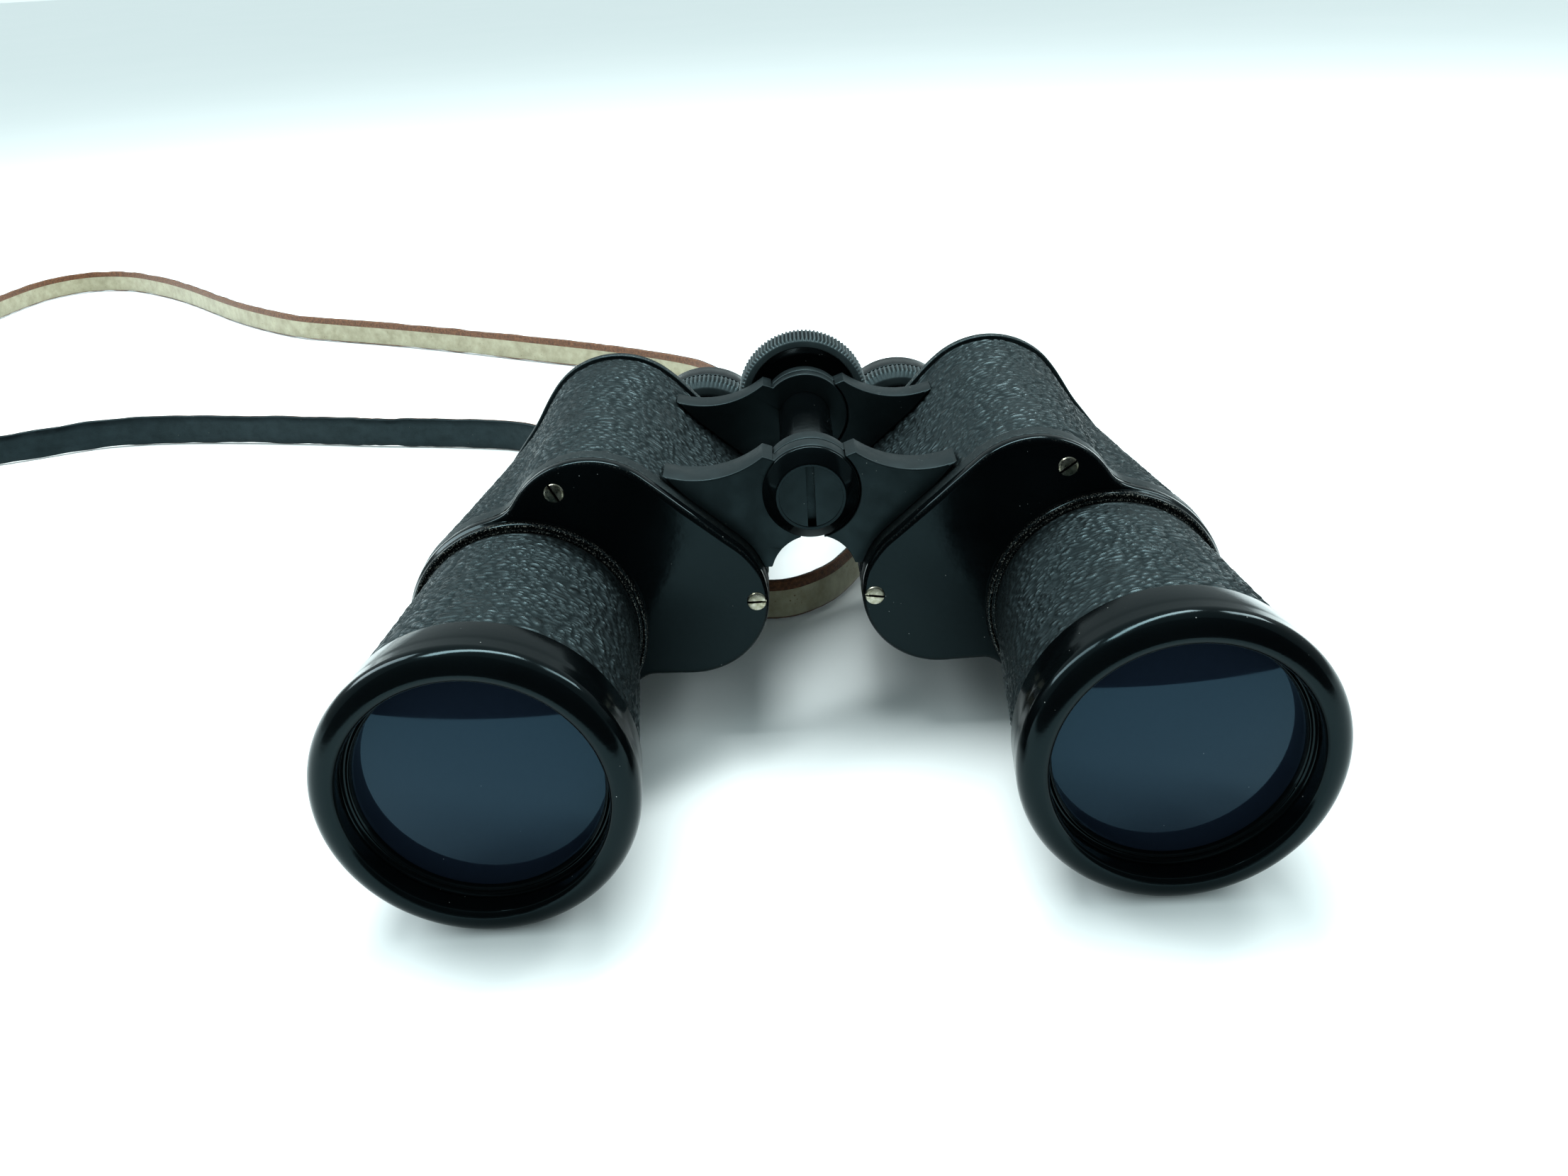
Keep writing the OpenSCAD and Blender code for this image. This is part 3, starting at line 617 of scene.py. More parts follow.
def outline_ring(side, angles, radii, y):
    """The ring of points at y, radii about the core."""
    u = CORE[0] + radii * np.cos(np.radians(angles))
    z = CORE[1] + radii * np.sin(np.radians(angles))
    x = AXIS[side][0] + TOWARDS_HINGE[side] * u
    return np.stack([x, np.full(len(angles), float(y)), AXIS[side][1] + z], axis=1)


# ---------------------------------------------------------------- leatherette relief


def smooth_noise(table, a, b):
    """Noise between table's random numbers at (a, b), which repeats around a."""
    count_a, count_b = table.shape
    i, j = np.floor(a).astype(int), np.floor(b).astype(int)
    s, t = a - i, b - j
    s, t = s * s * (3 - 2 * s), t * t * (3 - 2 * t)
    corner = [[table[(i + p) % count_a, (j + q) % count_b] for q in (0, 1)] for p in (0, 1)]
    return (corner[0][0] * (1 - s) + corner[1][0] * s) * (1 - t) + (
        corner[0][1] * (1 - s) + corner[1][1] * s
    ) * t


def grain(u, v, around, seed):
    """Height from 0 in the creases to 1 on the pebbles, at u mm around and v mm along."""
    random = np.random.default_rng(seed)
    cell_u, cell_v, fold = 2.9, 1.25, 4.6
    count_u, count_v = int(round(around / cell_u)), 96
    fold_u = int(round(around / fold))
    warp = [random.random((fold_u, 48)) for _ in range(2)]
    a = u / around * fold_u
    shift_u = smooth_noise(warp[0], a, v / fold) - 0.5
    shift_v = smooth_noise(warp[1], a, v / fold) - 0.5
    x = u / around * count_u + 1.2 * shift_u
    y = v / cell_v + 2.0 * shift_v + 20
    spot = random.random((count_u, count_v, 2)) * 0.9 + 0.05
    level = random.random((count_u, count_v))
    i, j = np.floor(x).astype(int), np.floor(y).astype(int)
    nearest = np.full(x.shape, 9.0)
    second = np.full(x.shape, 9.0)
    high = np.zeros(x.shape)
    for p in (-1, 0, 1):
        for q in (-1, 0, 1):
            ci, cj = (i + p) % count_u, (j + q) % count_v
            away = np.hypot(i + p + spot[ci, cj, 0] - x, j + q + spot[ci, cj, 1] - y)
            closer = away < nearest
            second = np.where(closer, nearest, np.minimum(second, away))
            high = np.where(closer, level[ci, cj], high)
            nearest = np.where(closer, away, nearest)
    edge = np.clip((second - nearest) / 0.42, 0, 1)
    dome = 0.45 + 0.55 * (1 - np.clip(nearest / 0.75, 0, 1) ** 2)
    pebble = edge * edge * (3 - 2 * edge) * dome
    soft = smooth_noise(random.random((int(round(around / 9)), 24)), u / around * round(around / 9), v / 9)
    open_crease = np.clip(0.6 + 0.6 * soft, 0, 1)
    return (1 - open_crease * (1 - pebble)) * (0.80 + 0.20 * high)


GRAIN_STEP = 0.42  # size of one quad
GRAIN_DEPTH = 0.7
SMOOTH_EDGE = 0.9  # run at each end over which the grain dies away
TUCK = 0.05  # how far the smooth ends, and the back, lie inside the CAD's skin


def leather_sleeve(name, rings_at, around, length, seed, body, node):
    """A closed sleeve whose outside has the grain.

    rings_at(t, grow) gives the ring of points at t along the sleeve, grown by grow.
    """
    columns = int(around / GRAIN_STEP)
    rows = int(length / GRAIN_STEP) + 1
    u = np.arange(columns) * around / columns
    v = np.linspace(0, length, rows)
    uu, vv = np.meshgrid(u, v)
    height = grain(uu, vv, around, seed)
    fade = np.clip(np.minimum(vv, length - vv) / SMOOTH_EDGE, 0, 1)
    rise = -GRAIN_DEPTH * (1 - height) * fade - TUCK * (1 - fade)
    rings = [rings_at(v[k] / length, rise[k]) for k in range(rows)]
    inner = [rings_at(t, np.full(columns, TUCK - SKIN)) for t in (1.0, 0.0)]
    vertices = np.concatenate(rings + inner)
    total = rows + 2
    below = np.arange(total * columns).reshape(total, columns)
    above = np.roll(below, -1, axis=0)
    corners = [below, np.roll(below, -1, axis=1), np.roll(above, -1, axis=1), above]
    quads = np.stack(corners, axis=2).reshape(-1, 4)
    piece = new_piece(name, vertices, quads.tolist(), "leatherette", body, [node], sharp=0)
    # raised is the grain's height, which the leatherette reads for its roughness and for the painted shade in
    # its creases.
    paint(piece, "raised", np.concatenate([(height * fade + (1 - fade)).ravel(), np.zeros(2 * columns)]))


def housing_leather(side, seed):
    columns = int(even_angles(side, 8)[1] / GRAIN_STEP)
    angles, around = even_angles(side, columns)
    front = smooth_outline(side, LEATHER_Y0, angles)
    rear = smooth_outline(side, LEATHER_Y1, angles)
    length = LEATHER_Y1 - LEATHER_Y0

    def rings_at(t, grow):
        return outline_ring(side, angles, front * (1 - t) + rear * t + grow, LEATHER_Y0 + t * length)

    node = f"housing_leatherette_{side}"
    leather_sleeve(f"housing_leather_{side}", rings_at, around, length, seed, BARREL[side], node)


def tube_leather(side, seed):
    node = f"tube_leatherette_{side}"
    front_r, _, _ = turned_size(node)
    points = np.array([v.co for v in NODES[node].data.vertices]) / MM
    rear = points[abs(points[:, 1] - TUBE_Y1) < ON_RING]
    rear_r = np.hypot(rear[:, 0] - AXIS[side][0], rear[:, 2] - AXIS[side][1]).max()
    around = np.pi * (front_r + rear_r)
    length = TUBE_Y1 - TUBE_Y0
    columns = int(around / GRAIN_STEP)
    angles = np.arange(columns) * 2 * np.pi / columns

    def rings_at(t, grow):
        radius = front_r * (1 - t) + rear_r * t + grow
        x = AXIS[side][0] + radius * np.cos(angles)
        z = AXIS[side][1] + radius * np.sin(angles)
        return np.stack([x, np.full(columns, TUBE_Y0 + t * length), z], axis=1)

    leather_sleeve(f"tube_leather_{side}", rings_at, around, length, seed, BARREL[side], node)


# ---------------------------------------------------------------- painted metal of the barrels


def hood(side):
    """Objective hood: a fat rounded rim, a stepped mouth and a smooth collar behind."""
    y = FRONT_Y
    bead, lip = 4.2, 1.5
    mouth_r = RIM_R - 6.1
    outline = arc_points((RIM_R - bead, y + bead), bead, 8, -98, 22)
    outline += arc_points((mouth_r + lip, y + lip + 0.05), lip, -100, -178, 8)
    inner = [
        (mouth_r, y + 5.2, 0.3, 0),
        (RIM_R - 2.8, y + 5.6, 0.2, 0),
        (RIM_R - 2.8, y + 15.2, 0.1, 0),
        (RIM_R - 0.95, y + 15.95, 0.3, 0),
        (RIM_R - 0.35, y + 9.0, 0.8, 0),
        (RIM_R - 0.3, y + 7.6, 0.5, 0),
    ]
    back, _ = rounded([(*outline[-1], 0, 0), *inner, (*outline[0], 0, 0)])
    points = outline + [tuple(p) for p in back[1:-1]]
    lathe(
        f"hood_{side}", AXIS[side], points, "gloss_paint", BARREL[side],
        [f"objective_hood_{side}"], wear=np.zeros(len(points)), turns=224, sharp=60,
    )


def cell_rings(side):
    """Lens cell: two polished lips inside the hood, and the lens seat."""
    y = FRONT_Y
    r = RIM_R - 6.9
    rear = y + 21.5
    lips = [
        (r - 0.9, y + 9.0, 0.4, 0), (r - 0.6, y + 6.9, 0.35, 0), (r - 0.1, y + 6.2, 0.3, 0),
        (r + 0.35, y + 6.9, 0.3, 0), (r + 0.8, y + 6.7, 0.3, 0), (r + 1.2, y + 5.9, 0.3, 0),
        (r + 3.1, y + 5.7, 0.3, 0), (r + 3.1, rear, 0.2, 0), (r - 0.9, rear, 0.2, 0),
    ]
    points, wear = rounded(lips, 5)
    lathe(
        f"lens_cell_{side}", AXIS[side], points, "gloss_paint", BARREL[side],
        [f"objective_cell_{side}"], wear=wear, turns=192, sharp=50,
    )


def lens_face(y, curve, radius):
    """Points of a spherical face from its axis out: it bends to the rear where curve is above 0."""
    sign = np.sign(curve)
    return [(r, y + sign * (abs(curve) - np.sqrt(curve**2 - r * r))) for r in np.linspace(0.02, radius, 18)]


def objective_glass(side):
    """The cemented lens as one closed glass, with its optical axis along Y."""
    radius = RIM_R - 6.95
    points = lens_face(FRONT_Y + 6.2, 210, radius) + lens_face(FRONT_Y + 16.4, -400, radius)[::-1]
    lathe(
        f"objective_glass_{side}", AXIS[side], points, "coated_glass", BARREL[side],
        [f"objective_lens_{side}"], turns=128, sharp=45,
    )


def outline_stack(name, side, outline_y, steps, slot, sharp, replaces=()):
    """A plate or band round the housing from (y, growth, wear) steps of its outline at outline_y."""
    angles, _ = even_angles(side, OUTLINE_POINTS)
    radii = smooth_outline(side, outline_y, angles)
    rings = [outline_ring(side, angles, radii + grow, y) for y, grow, _ in steps]
    wear = np.array([worn_by for _, _, worn_by in steps])
    piece = ring_stack(name, rings, slot, BARREL[side], replaces, wear=wear, sharp=sharp)
    weight_normals(piece)


def front_plate(side):
    """Front cover: a plate with a softly rolled edge, and the collar that the tube comes out of."""
    y0, y1 = PLATE_Y, COVER_Y1
    steps = [
        (y0, -1.5, 0), (y0 + 0.10, -0.85, 0), (y0 + 0.36, -0.42, 0.05), (y0 + 0.8, -0.12, 0),
        (y0 + 1.4, 0.0, 0), (y1 - 0.25, 0.0, 0), (y1, -0.2, 0.2),
    ]
    node = f"front_cover_{side}"
    outline_stack(f"front_plate_{side}", side, LEATHER_Y0, steps, "gloss_paint", 50, [node])
    r, y = 28.4, COVER_Y0
    collar = [
        (r - 3.2, y0 + 0.5, 0, 0), (r - 2.4, y + 1.3, 0.2, 0), (r - 1.75, y + 0.9, 0.3, 0.45),
        (r - 1.3, y + 1.45, 0.25, 0.1), (r - 0.6, y + 0.8, 0.35, 0.5), (r, y + 1.5, 0.5, 0.2),
        (r, y0 - 0.25, 0.2, 0), (r + 0.4, y0 + 0.5, 0, 0),
    ]
    points, wear = rounded(collar, 5)
    lathe(
        f"tube_collar_{side}", AXIS[side], points, "gloss_paint", BARREL[side], wear=wear, turns=192, sharp=50
    )


def housing_band(side):
    """Painted edge of the casting, between the front cover and the leatherette."""
    y0, y1 = COVER_Y1, LEATHER_Y0
    steps = [
        (y0, -0.45, 0), (y0 + 0.15, -0.1, 0.5), (y0 + 0.5, 0.05, 0.15), (y1 - 0.7, 0.08, 0.05),
        (y1 - 0.2, -0.02, 0.45), (y1, -0.3, 0),
    ]
    outline_stack(f"housing_band_{side}", side, LEATHER_Y0, steps, "satin_paint", 60)


SCREW_R = 2.35
SCREW_DOME = 0.45
SLOT_HALF = 0.27
SLOT_DEPTH = 0.55
CORE_POINTS = 40


def screw_half(sign, facing, first):
    """Points and faces of the half of a domed head on one side of its slot, numbered from first."""
    edge = np.arcsin(SLOT_HALF / SCREW_R)
    sweep = np.linspace(edge, np.pi - edge, 20)
    levels = [(1.0, -0.6), (1.0, 0.0), (0.93, 0.55 * SCREW_DOME), (0.78, 0.85 * SCREW_DOME)]
    points = [
        (np.cos(a) * SCREW_R * scale, facing * rise, sign * max(np.sin(a) * SCREW_R * scale, SLOT_HALF))
        for scale, rise in levels
        for a in sweep
    ]
    n = len(sweep)
    rows = [first + k * n for k in range(len(levels))]
    faces = [(a + i, a + i + 1, a + i + 1 + n, a + i + n) for a in rows[:-1] for i in range(n - 1)]
    faces.append(tuple(rows[-1] + i for i in range(n)))
    faces += [(a, a + n - 1, a + 2 * n - 1, a + n) for a in rows[:-1]]
    faces.append(tuple(first + i for i in range(n)))
    return points, faces


def screw(name, place, facing, slot_angle, body):
    """A domed slotted head. facing is -1 where it looks to the front and 1 to the rear."""
    points, faces = [], []
    for sign in (1, -1):
        half_points, half_faces = screw_half(sign, facing, len(points))
        points += half_points
        faces += half_faces
    base, n = len(points), CORE_POINTS
    bottom = SCREW_DOME - SLOT_DEPTH
    for rise, r in ((bottom - 0.5, SCREW_R), (bottom, SCREW_R - 0.02)):
        points.extend((np.cos(a) * r, facing * rise, np.sin(a) * r) for a in np.arange(n) * 2 * np.pi / n)
    faces.append(tuple(base + i for i in range(n)))
    faces.append(tuple(base + n + i for i in range(n)))
    faces.extend((base + i, base + (i + 1) % n, base + n + (i + 1) % n, base + n + i) for i in range(n))
    head = np.array(points)
    c, s = np.cos(np.radians(slot_angle)), np.sin(np.radians(slot_angle))
    x, z = head[:, 0] * c - head[:, 2] * s, head[:, 0] * s + head[:, 2] * c
    placed = np.stack([x, head[:, 1], z], axis=1) + place
    return new_piece(name, placed, faces, "nickel_screw", body, sharp=30)


def hinge_cap():
    """Cap on the front of the hinge: a bevelled rim round a face with a deep slot."""
    rim_r, y0, _ = turned_size("hinge_cap")
    face_r, inner_r, depth, half_slot = 8.3, 7.5, 2.6, 1.0
    y1 = y0 + 3.4
    rim = [
        (inner_r, y0 + 0.02, 0.05, 0), (face_r, y0, 0.25, 0), (rim_r, y0 + 2.7, 0.3, 0),
        (rim_r, y1, 0.1, 0), (inner_r, y1, 0.1, 0),
    ]
    points, wear = rounded(rim)
    lathe("hinge_cap_rim", HINGE, points, "gloss_paint", "right_barrel", ["hinge_cap"], wear=wear, sharp=35)
    edge = np.arcsin(half_slot / inner_r)
    sweep = np.linspace(edge, np.pi - edge, 28)
    for sign, name in ((1, "hinge_cap_face_right"), (-1, "hinge_cap_face_left")):
        outline = [(sign * np.sin(a) * inner_r, HINGE[1] + np.cos(a) * inner_r) for a in sweep]
        levels = (y0 + 0.02, y0 + 0.5, y0 + depth, y1)
        rings = [np.array([(x, y, z) for x, z in outline]) for y in levels]
        ring_stack(name, rings, "satin_paint", "right_barrel", sharp=25)
    # The slot's floor is a disc of the darker baffle black, unlike the cap's satin faces: painted shade in
    # the slot.
    floor = [(0.01, y0 + depth, 0, 0), (inner_r, y0 + depth, 0, 0), (inner_r, y1, 0, 0), (0.01, y1, 0, 0)]
    lathe("hinge_cap_slot", HINGE, rounded(floor)[0], "baffle_black", "right_barrel", turns=64)


def hinge_tube():
    """Tube round the axle between the two pairs of arms, with a collar at its front."""
    collar_r, y0, y1 = turned_size("hinge_tube")
    tube_r = 7.0
    profile = [
        (AXLE_HOLE_R, y0, 0.1, 0), (collar_r, y0, 0.4, 0), (collar_r, y0 + 2.4, 0.5, 0),
        (tube_r + 1.4, y0 + 3.8, 1.0, 0), (tube_r, y0 + 5.2, 1.5, 0), (tube_r, y1, 0.4, 0),
        (AXLE_HOLE_R, y1, 0.1, 0),
    ]
    points, wear = rounded(profile)
    lathe("hinge_tube_turned", HINGE, points, "gloss_paint", "right_barrel", ["hinge_tube"], wear=wear)


def focus_wheel():
    """Knurled rim with a narrow land, and the black dished face inside it."""
    r, y0, y1 = turned_size("focus_wheel")
    spindle_r = 2.6
    rim = [
        (r - 3.0, y0 + 0.9, 0.1, 0), (r - 2.7, y0 + 0.1, 0.3, 0), (r - 1.1, y0, 0.2, 0),
        (r - 0.05, y0 + 0.9, 0.2, 1), (r, y0 + 1.5, 0.2, 1), (r, y1 - 1.2, 0.2, 1),
        (r - 0.9, y1 - 0.05, 0.3, 0), (r - 4.0, y1, 0.3, 0), (r - 4.4, y1 - 1.2, 0.3, 0),
        (r - 6.0, y1 - 1.4, 0.3, 0), (r - 6.0, y0 + 3.5, 0.1, 0), (r - 3.0, y0 + 3.5, 0.1, 0),
    ]
    knurled("focus_wheel_rim", HINGE, rim, 100, "focus_wheel", "focus_wheel")
    face = [
        (AXLE_HOLE_R, y0 + 1.9, 0.1, 0), (7.4, y0 + 1.9, 0.6, 0), (8.2, y0 + 2.6, 0.6, 0),
        (r - 5.0, y0 + 2.3, 2.0, 0), (r - 2.9, y0 + 0.75, 0.2, 0), (r - 2.9, y1 - 1.8, 0.1, 0),
        (spindle_r, y1 - 1.8, 0.2, 0), (spindle_r, y1 - 3.2, 0.1, 0), (AXLE_HOLE_R, y1 - 3.2, 0.1, 0),
    ]
    lathe("focus_wheel_face", HINGE, rounded(face)[0], "gloss_paint", "focus_wheel", turns=160, sharp=35)


def eyepiece_ring(side):
    """Knurled ring round the eyepiece: the dioptre ring on the right, a plain one on the left."""
    node = "dioptre_ring" if side == "right" else "eyepiece_ring_left"
    body = "dioptre_ring" if side == "right" else OCULAR[side]
    r, y0, y1 = turned_size(node)
    inner_r = 14.6
    profile = [
        (inner_r, y0 + 0.6, 0.2, 0), (inner_r + 1, y0, 0.3, 0), (r - 2.2, y0, 0.3, 0),
        (r - 0.15, y0 + 1.7, 0.3, 1), (r, y0 + 2.3, 0.2, 1), (r, y1 - 0.9, 0.2, 1),
        (r - 0.8, y1, 0.3, 0), (inner_r, y1, 0.2, 0),
    ]
    knurled(f"knurled_ring_{side}", EYE[side], profile, 90, body, node)


def rear_lip(side):
    """Rolled edge of the rear cover, which stands a little proud of the leatherette."""
    y = LEATHER_Y1
    steps = [
        (y + 0.02, 0.5, 0), (y + 0.25, 0.92, 0.6), (y + 0.7, 1.05, 0.3), (y + 1.9, 1.05, 0.1),
        (y + 2.35, 0.9, 0.4), (y + 2.52, 0.5, 0),
    ]
    outline_stack(f"rear_lip_{side}", side, LEATHER_Y1, steps, "satin_paint", 60)


# Each screw's u and z from the objective axis, and the angle of its slot
SCREWS_FRONT = {
    "right": ((9.87, 34.75, -62), (54.87, 4.49, 0)),
    "left": ((9.87, 34.75, 35), (54.87, 4.49, -8)),
}
SCREWS_REAR = ((9.87, 34.75, 20), (54.87, 4.49, -35), (-10.3, -10.3, 70))


def cover_screws(side):
    """Front and rear cover screws; their one CAD node is hidden."""
    rear_y = box_mm(f"rear_cover_{side}")[1][1]
    rows = (("front", SCREWS_FRONT[side], PLATE_Y - 0.1, -1), ("rear", SCREWS_REAR, rear_y - 0.15, 1))
    for end, places, y, facing in rows:
        for i, (u, z, angle) in enumerate(places):
            place = (AXIS[side][0] + TOWARDS_HINGE[side] * u, y, AXIS[side][1] + z)
            screw(f"{end}_screw_{side}_{i + 1}", place, facing, angle, BARREL[side])
    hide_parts(f"cover_screws_{side}")


# ---------------------------------------------------------------- strap

STRAP_W = 12.0
STRAP_T = 2.0
LUG_X = 72.0
LUG_BAR = (38.25, 3.6)
TWIST_RUN = 34.0  # run at each end over which the strap turns from its edge to flat
STRAP_STEP = 2.5
OUTSIDE, EDGE, INSIDE = 0, 1, 2  # material slots of a strap piece

# The strap's course in plan, from the left lug's bar to the right one's
STRAP_ROUTE = [
    (72, 47), (72.3, 56), (73, 66), (75, 84), (69, 102), (50, 108), (33, 94), (20, 72), (12, 54),
    (4, 41), (-8, 33),
    (-21, 36), (-30, 48), (-34, 70), (-35, 110), (-33, 160), (-29, 205), (-29, 238), (-42, 264),
    (-62, 282), (-90, 301), (-124, 320), (-165, 343), (-204, 363), (-234, 377), (-260, 390),
    (-284, 409), (-310, 434), (-352, 481), (-380, 508), (-408, 528), (-434, 532), (-452, 518),
    (-460, 492), (-463, 456), (-462, 415), (-454, 370), (-441, 325), (-424, 282), (-404, 246),
    (-380, 218), (-356, 206), (-332, 208), (-311, 216), (-294, 223), (-278, 225), (-258, 224), (-232, 220),
    (-203, 214), (-173, 207), (-143, 201), (-114, 193), (-92, 178), (-79, 154), (-75, 124),
    (-74, 96), (-73, 72), (-72.3, 56), (-72, 47),
]


def smooth_route(route, step):
    """Points about step apart on a smooth curve through the route."""
    p = np.array([route[0], *route, route[-1]], float)
    line = []
    for i in range(1, len(p) - 2):
        a, b, c, d = p[i - 1 : i + 3]
        for t in np.linspace(0, 1, 12, endpoint=False):
            line.append(spline(a, b, c, d, t))
    line = np.array(line + [p[-1]])
    run = np.concatenate([[0], np.cumsum(np.linalg.norm(np.diff(line, axis=0), axis=1))])
    count = int(run[-1] / step) + 1
    at = np.linspace(0, run[-1], count)
    return np.stack([np.interp(at, run, line[:, k]) for k in (0, 1)], axis=1), at


def strap_materials():
    return [MAT["strap_leather"], MAT["strap_edge"], MAT["strap_buff"]]


def strap_section(thickness, width, wave):
    """Outline of the strap across its run, as (across, up, slot)."""
    h, w = thickness / 2, width / 2
    soft = 0.55
    return [
        (h, -w + soft, OUTSIDE), (h + 0.05, -w * 0.5, OUTSIDE), (h + 0.07, 0, OUTSIDE),
        (h + 0.05, w * 0.5, OUTSIDE), (h, w - soft, OUTSIDE), (h * 0.75, w - 0.12 + wave, OUTSIDE),
        (0.1 * h, w + wave, EDGE), (-h * 0.7, w - 0.1 + wave, EDGE), (-h, w - soft, EDGE),
        (-h - 0.04, w * 0.5, INSIDE), (-h - 0.05, 0, INSIDE), (-h - 0.04, -w * 0.5, INSIDE),
        (-h, -w + soft, INSIDE), (-h * 0.7, -w + 0.1 - wave, EDGE), (0.1 * h, -w - wave, EDGE),
        (h * 0.75, -w + 0.12 - wave, OUTSIDE),
    ]


def neck_strap():
    """The strap between its two folded ends: on its edge along the run, flat at each lug."""
    line, run = smooth_route(STRAP_ROUTE, STRAP_STEP)
    n = len(line)
    ahead = np.gradient(line, axis=0)
    ahead /= np.linalg.norm(ahead, axis=1)[:, None]
    random = np.random.default_rng(11)
    wave = np.convolve(random.normal(0, 0.22, n + 4), np.ones(3) / 3, "same")[2 : n + 2]
    lean = np.convolve(random.normal(0, 1.0, n + 60), np.hanning(61) / 30, "same")[30 : n + 30]
    points, centres = [], []
    for i in range(n):
        to_end = min(run[i], run[-1] - run[i])
        flat = np.clip(1 - (to_end - 3) / TWIST_RUN, 0, 1)
        flat = flat * flat * (3 - 2 * flat)
        roll = flat * np.pi / 2 + (1 - flat) * np.radians(5) * np.clip(lean[i] * 2.2, -1, 1)
        c, s = np.cos(roll), np.sin(roll)
        rest = STRAP_W / 2 * abs(c) + STRAP_T / 2 * abs(s) + 0.12
        height = rest + flat**3 * (LUG_BAR[1] - rest)
        across = np.array([ahead[i][1], -ahead[i][0], 0])
        up = np.array([0, 0, 1.0])
        side_way, tall_way = across * c + up * s, up * c - across * s
        middle = np.array([*line[i], height])
        centres.append(middle * MM)
        section = strap_section(STRAP_T, STRAP_W - 0.3, min(wave[i], 0.15))
        for a, u, _ in section:
            point = middle + side_way * a + tall_way * u
            point[2] = max(point[2], 0.0)
            points.append(point)
    around = []
    for (_, _, a), (_, _, b) in zip(section, section[1:] + section[:1]):
        around.append(OUTSIDE if OUTSIDE in (a, b) else INSIDE if a == b == INSIDE else EDGE)
    strap = new_piece(
        "neck_strap_leather", points, tube_faces(n, len(section)), "strap_leather", None, ["neck_strap"],
        materials=strap_materials(), face_slots=[EDGE, EDGE] + around * (n - 1), sharp=0,
    )
    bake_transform(strap)
    loops = [strap_loop(side) for side in SIDES]


def strap_loop(side):
    """The strap's end: folded round the lug's bar, with both layers stitched together."""
    x = LUG_X * (-1 if side == "right" else 1)
    bar_y, bar_z = LUG_BAR
    thickness, inner_r, tail = 1.5, 1.35, 14.0
    r = inner_r + thickness / 2
    leg = [(tail, 0.93), (tail * 0.6, 1), (2, 1)]
    line = [(bar_y + along, bar_z + r * rise) for along, rise in leg]
    line += arc_points((bar_y, bar_z), r, 90, 270, 16)
    line += [(bar_y + along, bar_z - r * rise) for along, rise in leg[::-1]]
    line = np.array(line)
    ahead = np.gradient(line, axis=0)
    ahead /= np.linalg.norm(ahead, axis=1)[:, None]
    normal = np.stack([-ahead[:, 1], ahead[:, 0]], axis=1)
    w, soft = STRAP_W / 2 - 0.1, 0.5
    section = [
        (-w + soft, 0.5), (w - soft, 0.5), (w, 0.28), (w, -0.28),
        (w - soft, -0.5), (-w + soft, -0.5), (-w, -0.28), (-w, 0.28),
    ]
    n = len(line)
    points = [
        (x + a, line[i][0] - normal[i][0] * t * thickness, line[i][1] - normal[i][1] * t * thickness)
        for i in range(n)
        for a, t in section
    ]
    around = [OUTSIDE, EDGE, EDGE, EDGE, INSIDE, EDGE, EDGE, EDGE]
    loop = new_piece(
        f"strap_loop_{side}", points, tube_faces(n, len(section)), "strap_leather", BARREL[side],
        [f"strap_end_{side}"], materials=strap_materials(),
        face_slots=[EDGE, EDGE] + around * (n - 1), sharp=50,
    )
    top = bar_z + r + thickness / 2
    for k, across in enumerate((-4.4, -2.2, 0, 2.2, 4.4)):
        stitch(f"strap_stitch_{side}_{k + 1}", x + across, bar_y + 8.0, top, loop)
    return loop


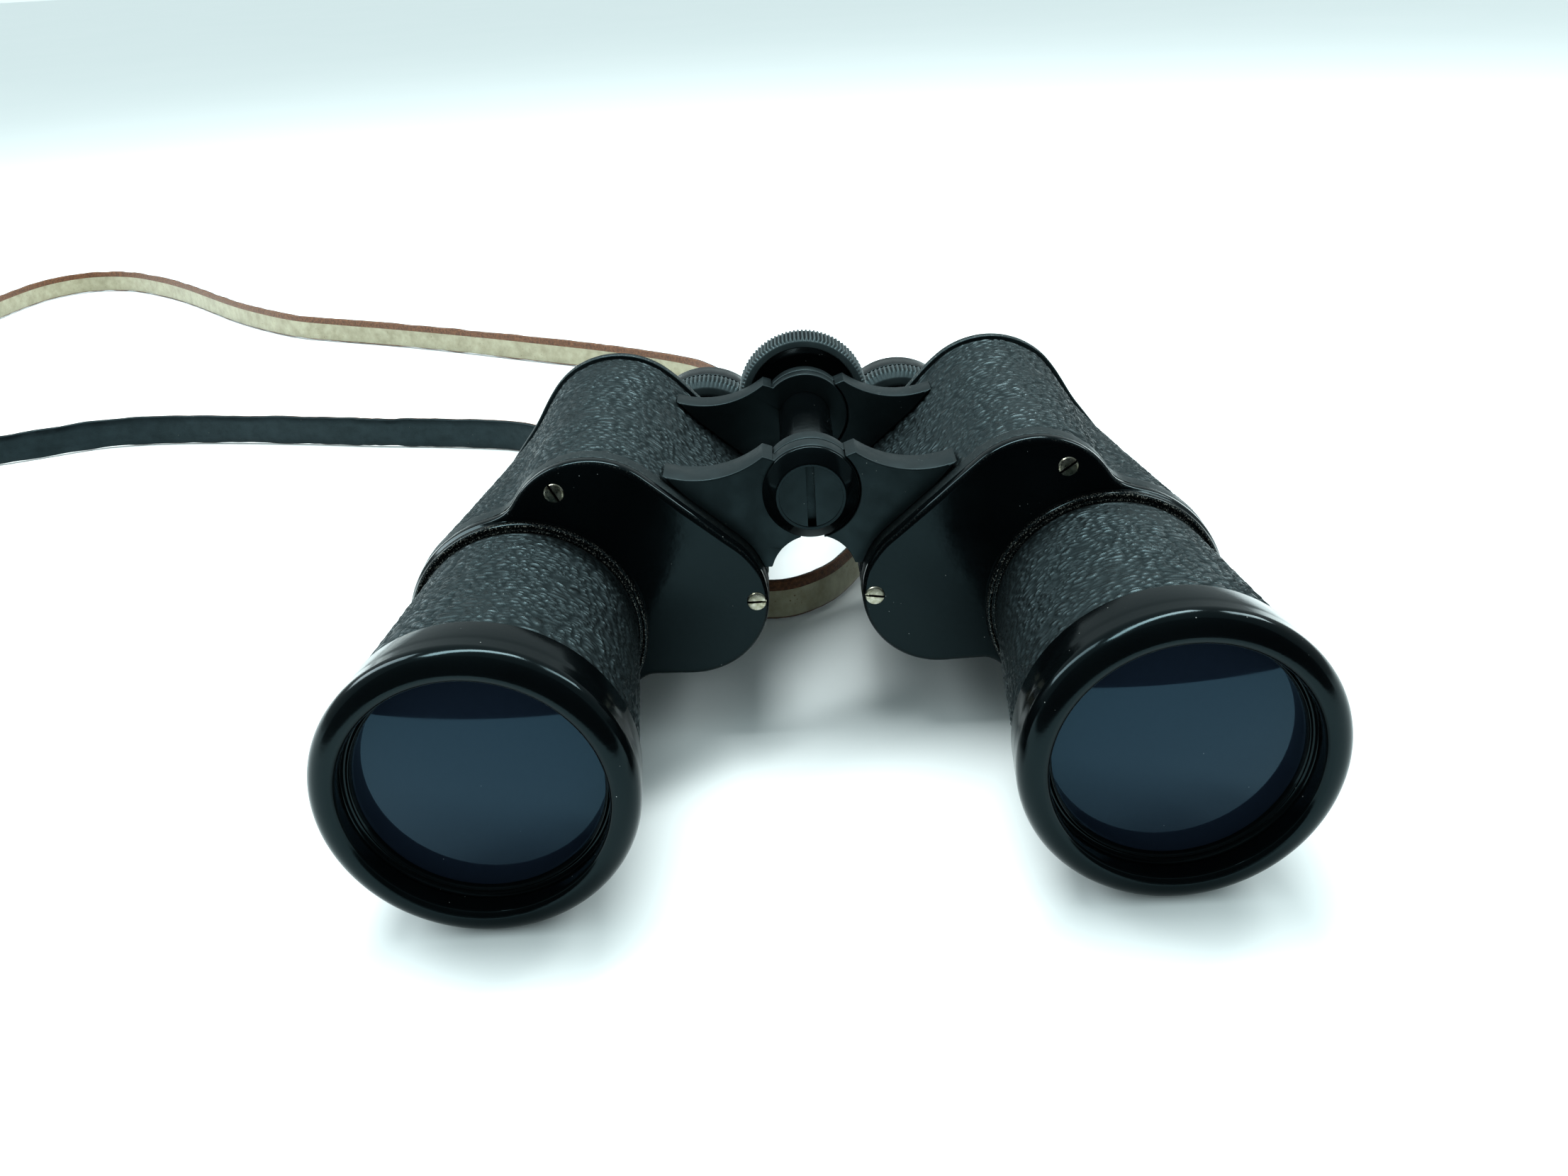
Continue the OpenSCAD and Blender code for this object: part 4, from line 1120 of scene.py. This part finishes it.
def stitch(name, x, y, z, parent):
    """One stitch of waxed thread, a short bowed capsule along Y that sinks in at both ends."""
    steps, sides = 8, 8
    length, thread_r = 2.4, 0.28
    points = []
    for i in range(steps + 1):
        t = i / steps
        lift = 0.22 * np.sin(np.pi * t) - 0.12
        r = thread_r * np.sqrt(max(0.15, np.sin(np.pi * min(max(t, 0.06), 0.94))))
        for k in range(sides):
            a = 2 * np.pi * k / sides
            points.append((x + r * np.cos(a), y + length * (t - 0.5), z + lift + r * np.sin(a)))
    faces = tube_faces(steps + 1, sides)
    made = new_piece(name, points, faces, "strap_leather", None, materials=[MAT["thread"]], sharp=0)
    made.parent = parent
    made.matrix_parent_inverse = parent.matrix_world.inverted()


# ---------------------------------------------------------------- carried-over CAD nodes

# Width of the rounded edges of each CAD node that shows as it is
BEVELLED = {
    "hinge_arm_front_right": 0.35, "hinge_arm_front_left": 0.35, "hinge_arm_rear_right": 0.35,
    "hinge_arm_rear_left": 0.35, "rear_cover_right": 0.3, "rear_cover_left": 0.3,
    "strap_lug_right": 0.3, "strap_lug_left": 0.3, "bridge_arm_right": 0.4, "bridge_arm_left": 0.4,
    "bridge_cap": 0.3, "eyecup_right": 0.2, "eyecup_left": 0.2,
}
WELD_MM = 0.002
BEVEL_FROM_DEGREES = 38


def finish_nodes():
    """Gives each CAD node its material, and small rounded edges where they show."""
    for name, node in NODES.items():
        slot = node.data.materials[0].name.split(".")[0]
        node.data.materials[0] = MAT[slot]
        if name in BEVELLED:
            weld = node.modifiers.new("weld", "WELD")
            weld.merge_threshold = WELD_MM * MM
            bevel = node.modifiers.new("bevel", "BEVEL")
            bevel.width = BEVELLED[name] * MM
            bevel.segments = 3
            bevel.limit_method = "ANGLE"
            bevel.angle_limit = np.radians(BEVEL_FROM_DEGREES)
            bevel.use_clamp_overlap = False
            bevel.miter_outer = "MITER_ARC"
            bevel.harden_normals = True


# ---------------------------------------------------------------- assembly

make_camera()
neck_strap()
for index, part in enumerate(SIDES):
    hood(part)
    cell_rings(part)
    objective_glass(part)
    front_plate(part)
    housing_band(part)
    cover_screws(part)
    rear_lip(part)
    eyepiece_ring(part)
    housing_leather(part, 21 + index)
    tube_leather(part, 31 + index)
hinge_cap()
hinge_tube()
focus_wheel()
finish_nodes()
make_stage()
make_world()
area_light("overhead", (-0.1, 0.25, 1.1), (0, 0.1, 0), (1.2, 0.22), 15, (0.93, 1.0, 1.0))
area_light("window", (-1.0, 0.45, 0.75), (0, 0.05, 0.03), (0.35, 0.8), 6, (0.90, 0.98, 1.0))
area_light("lamp", (0.85, 0.5, 0.85), (0, 0.05, 0.03), (0.25, 0.5), 4, (0.92, 1.0, 1.0))
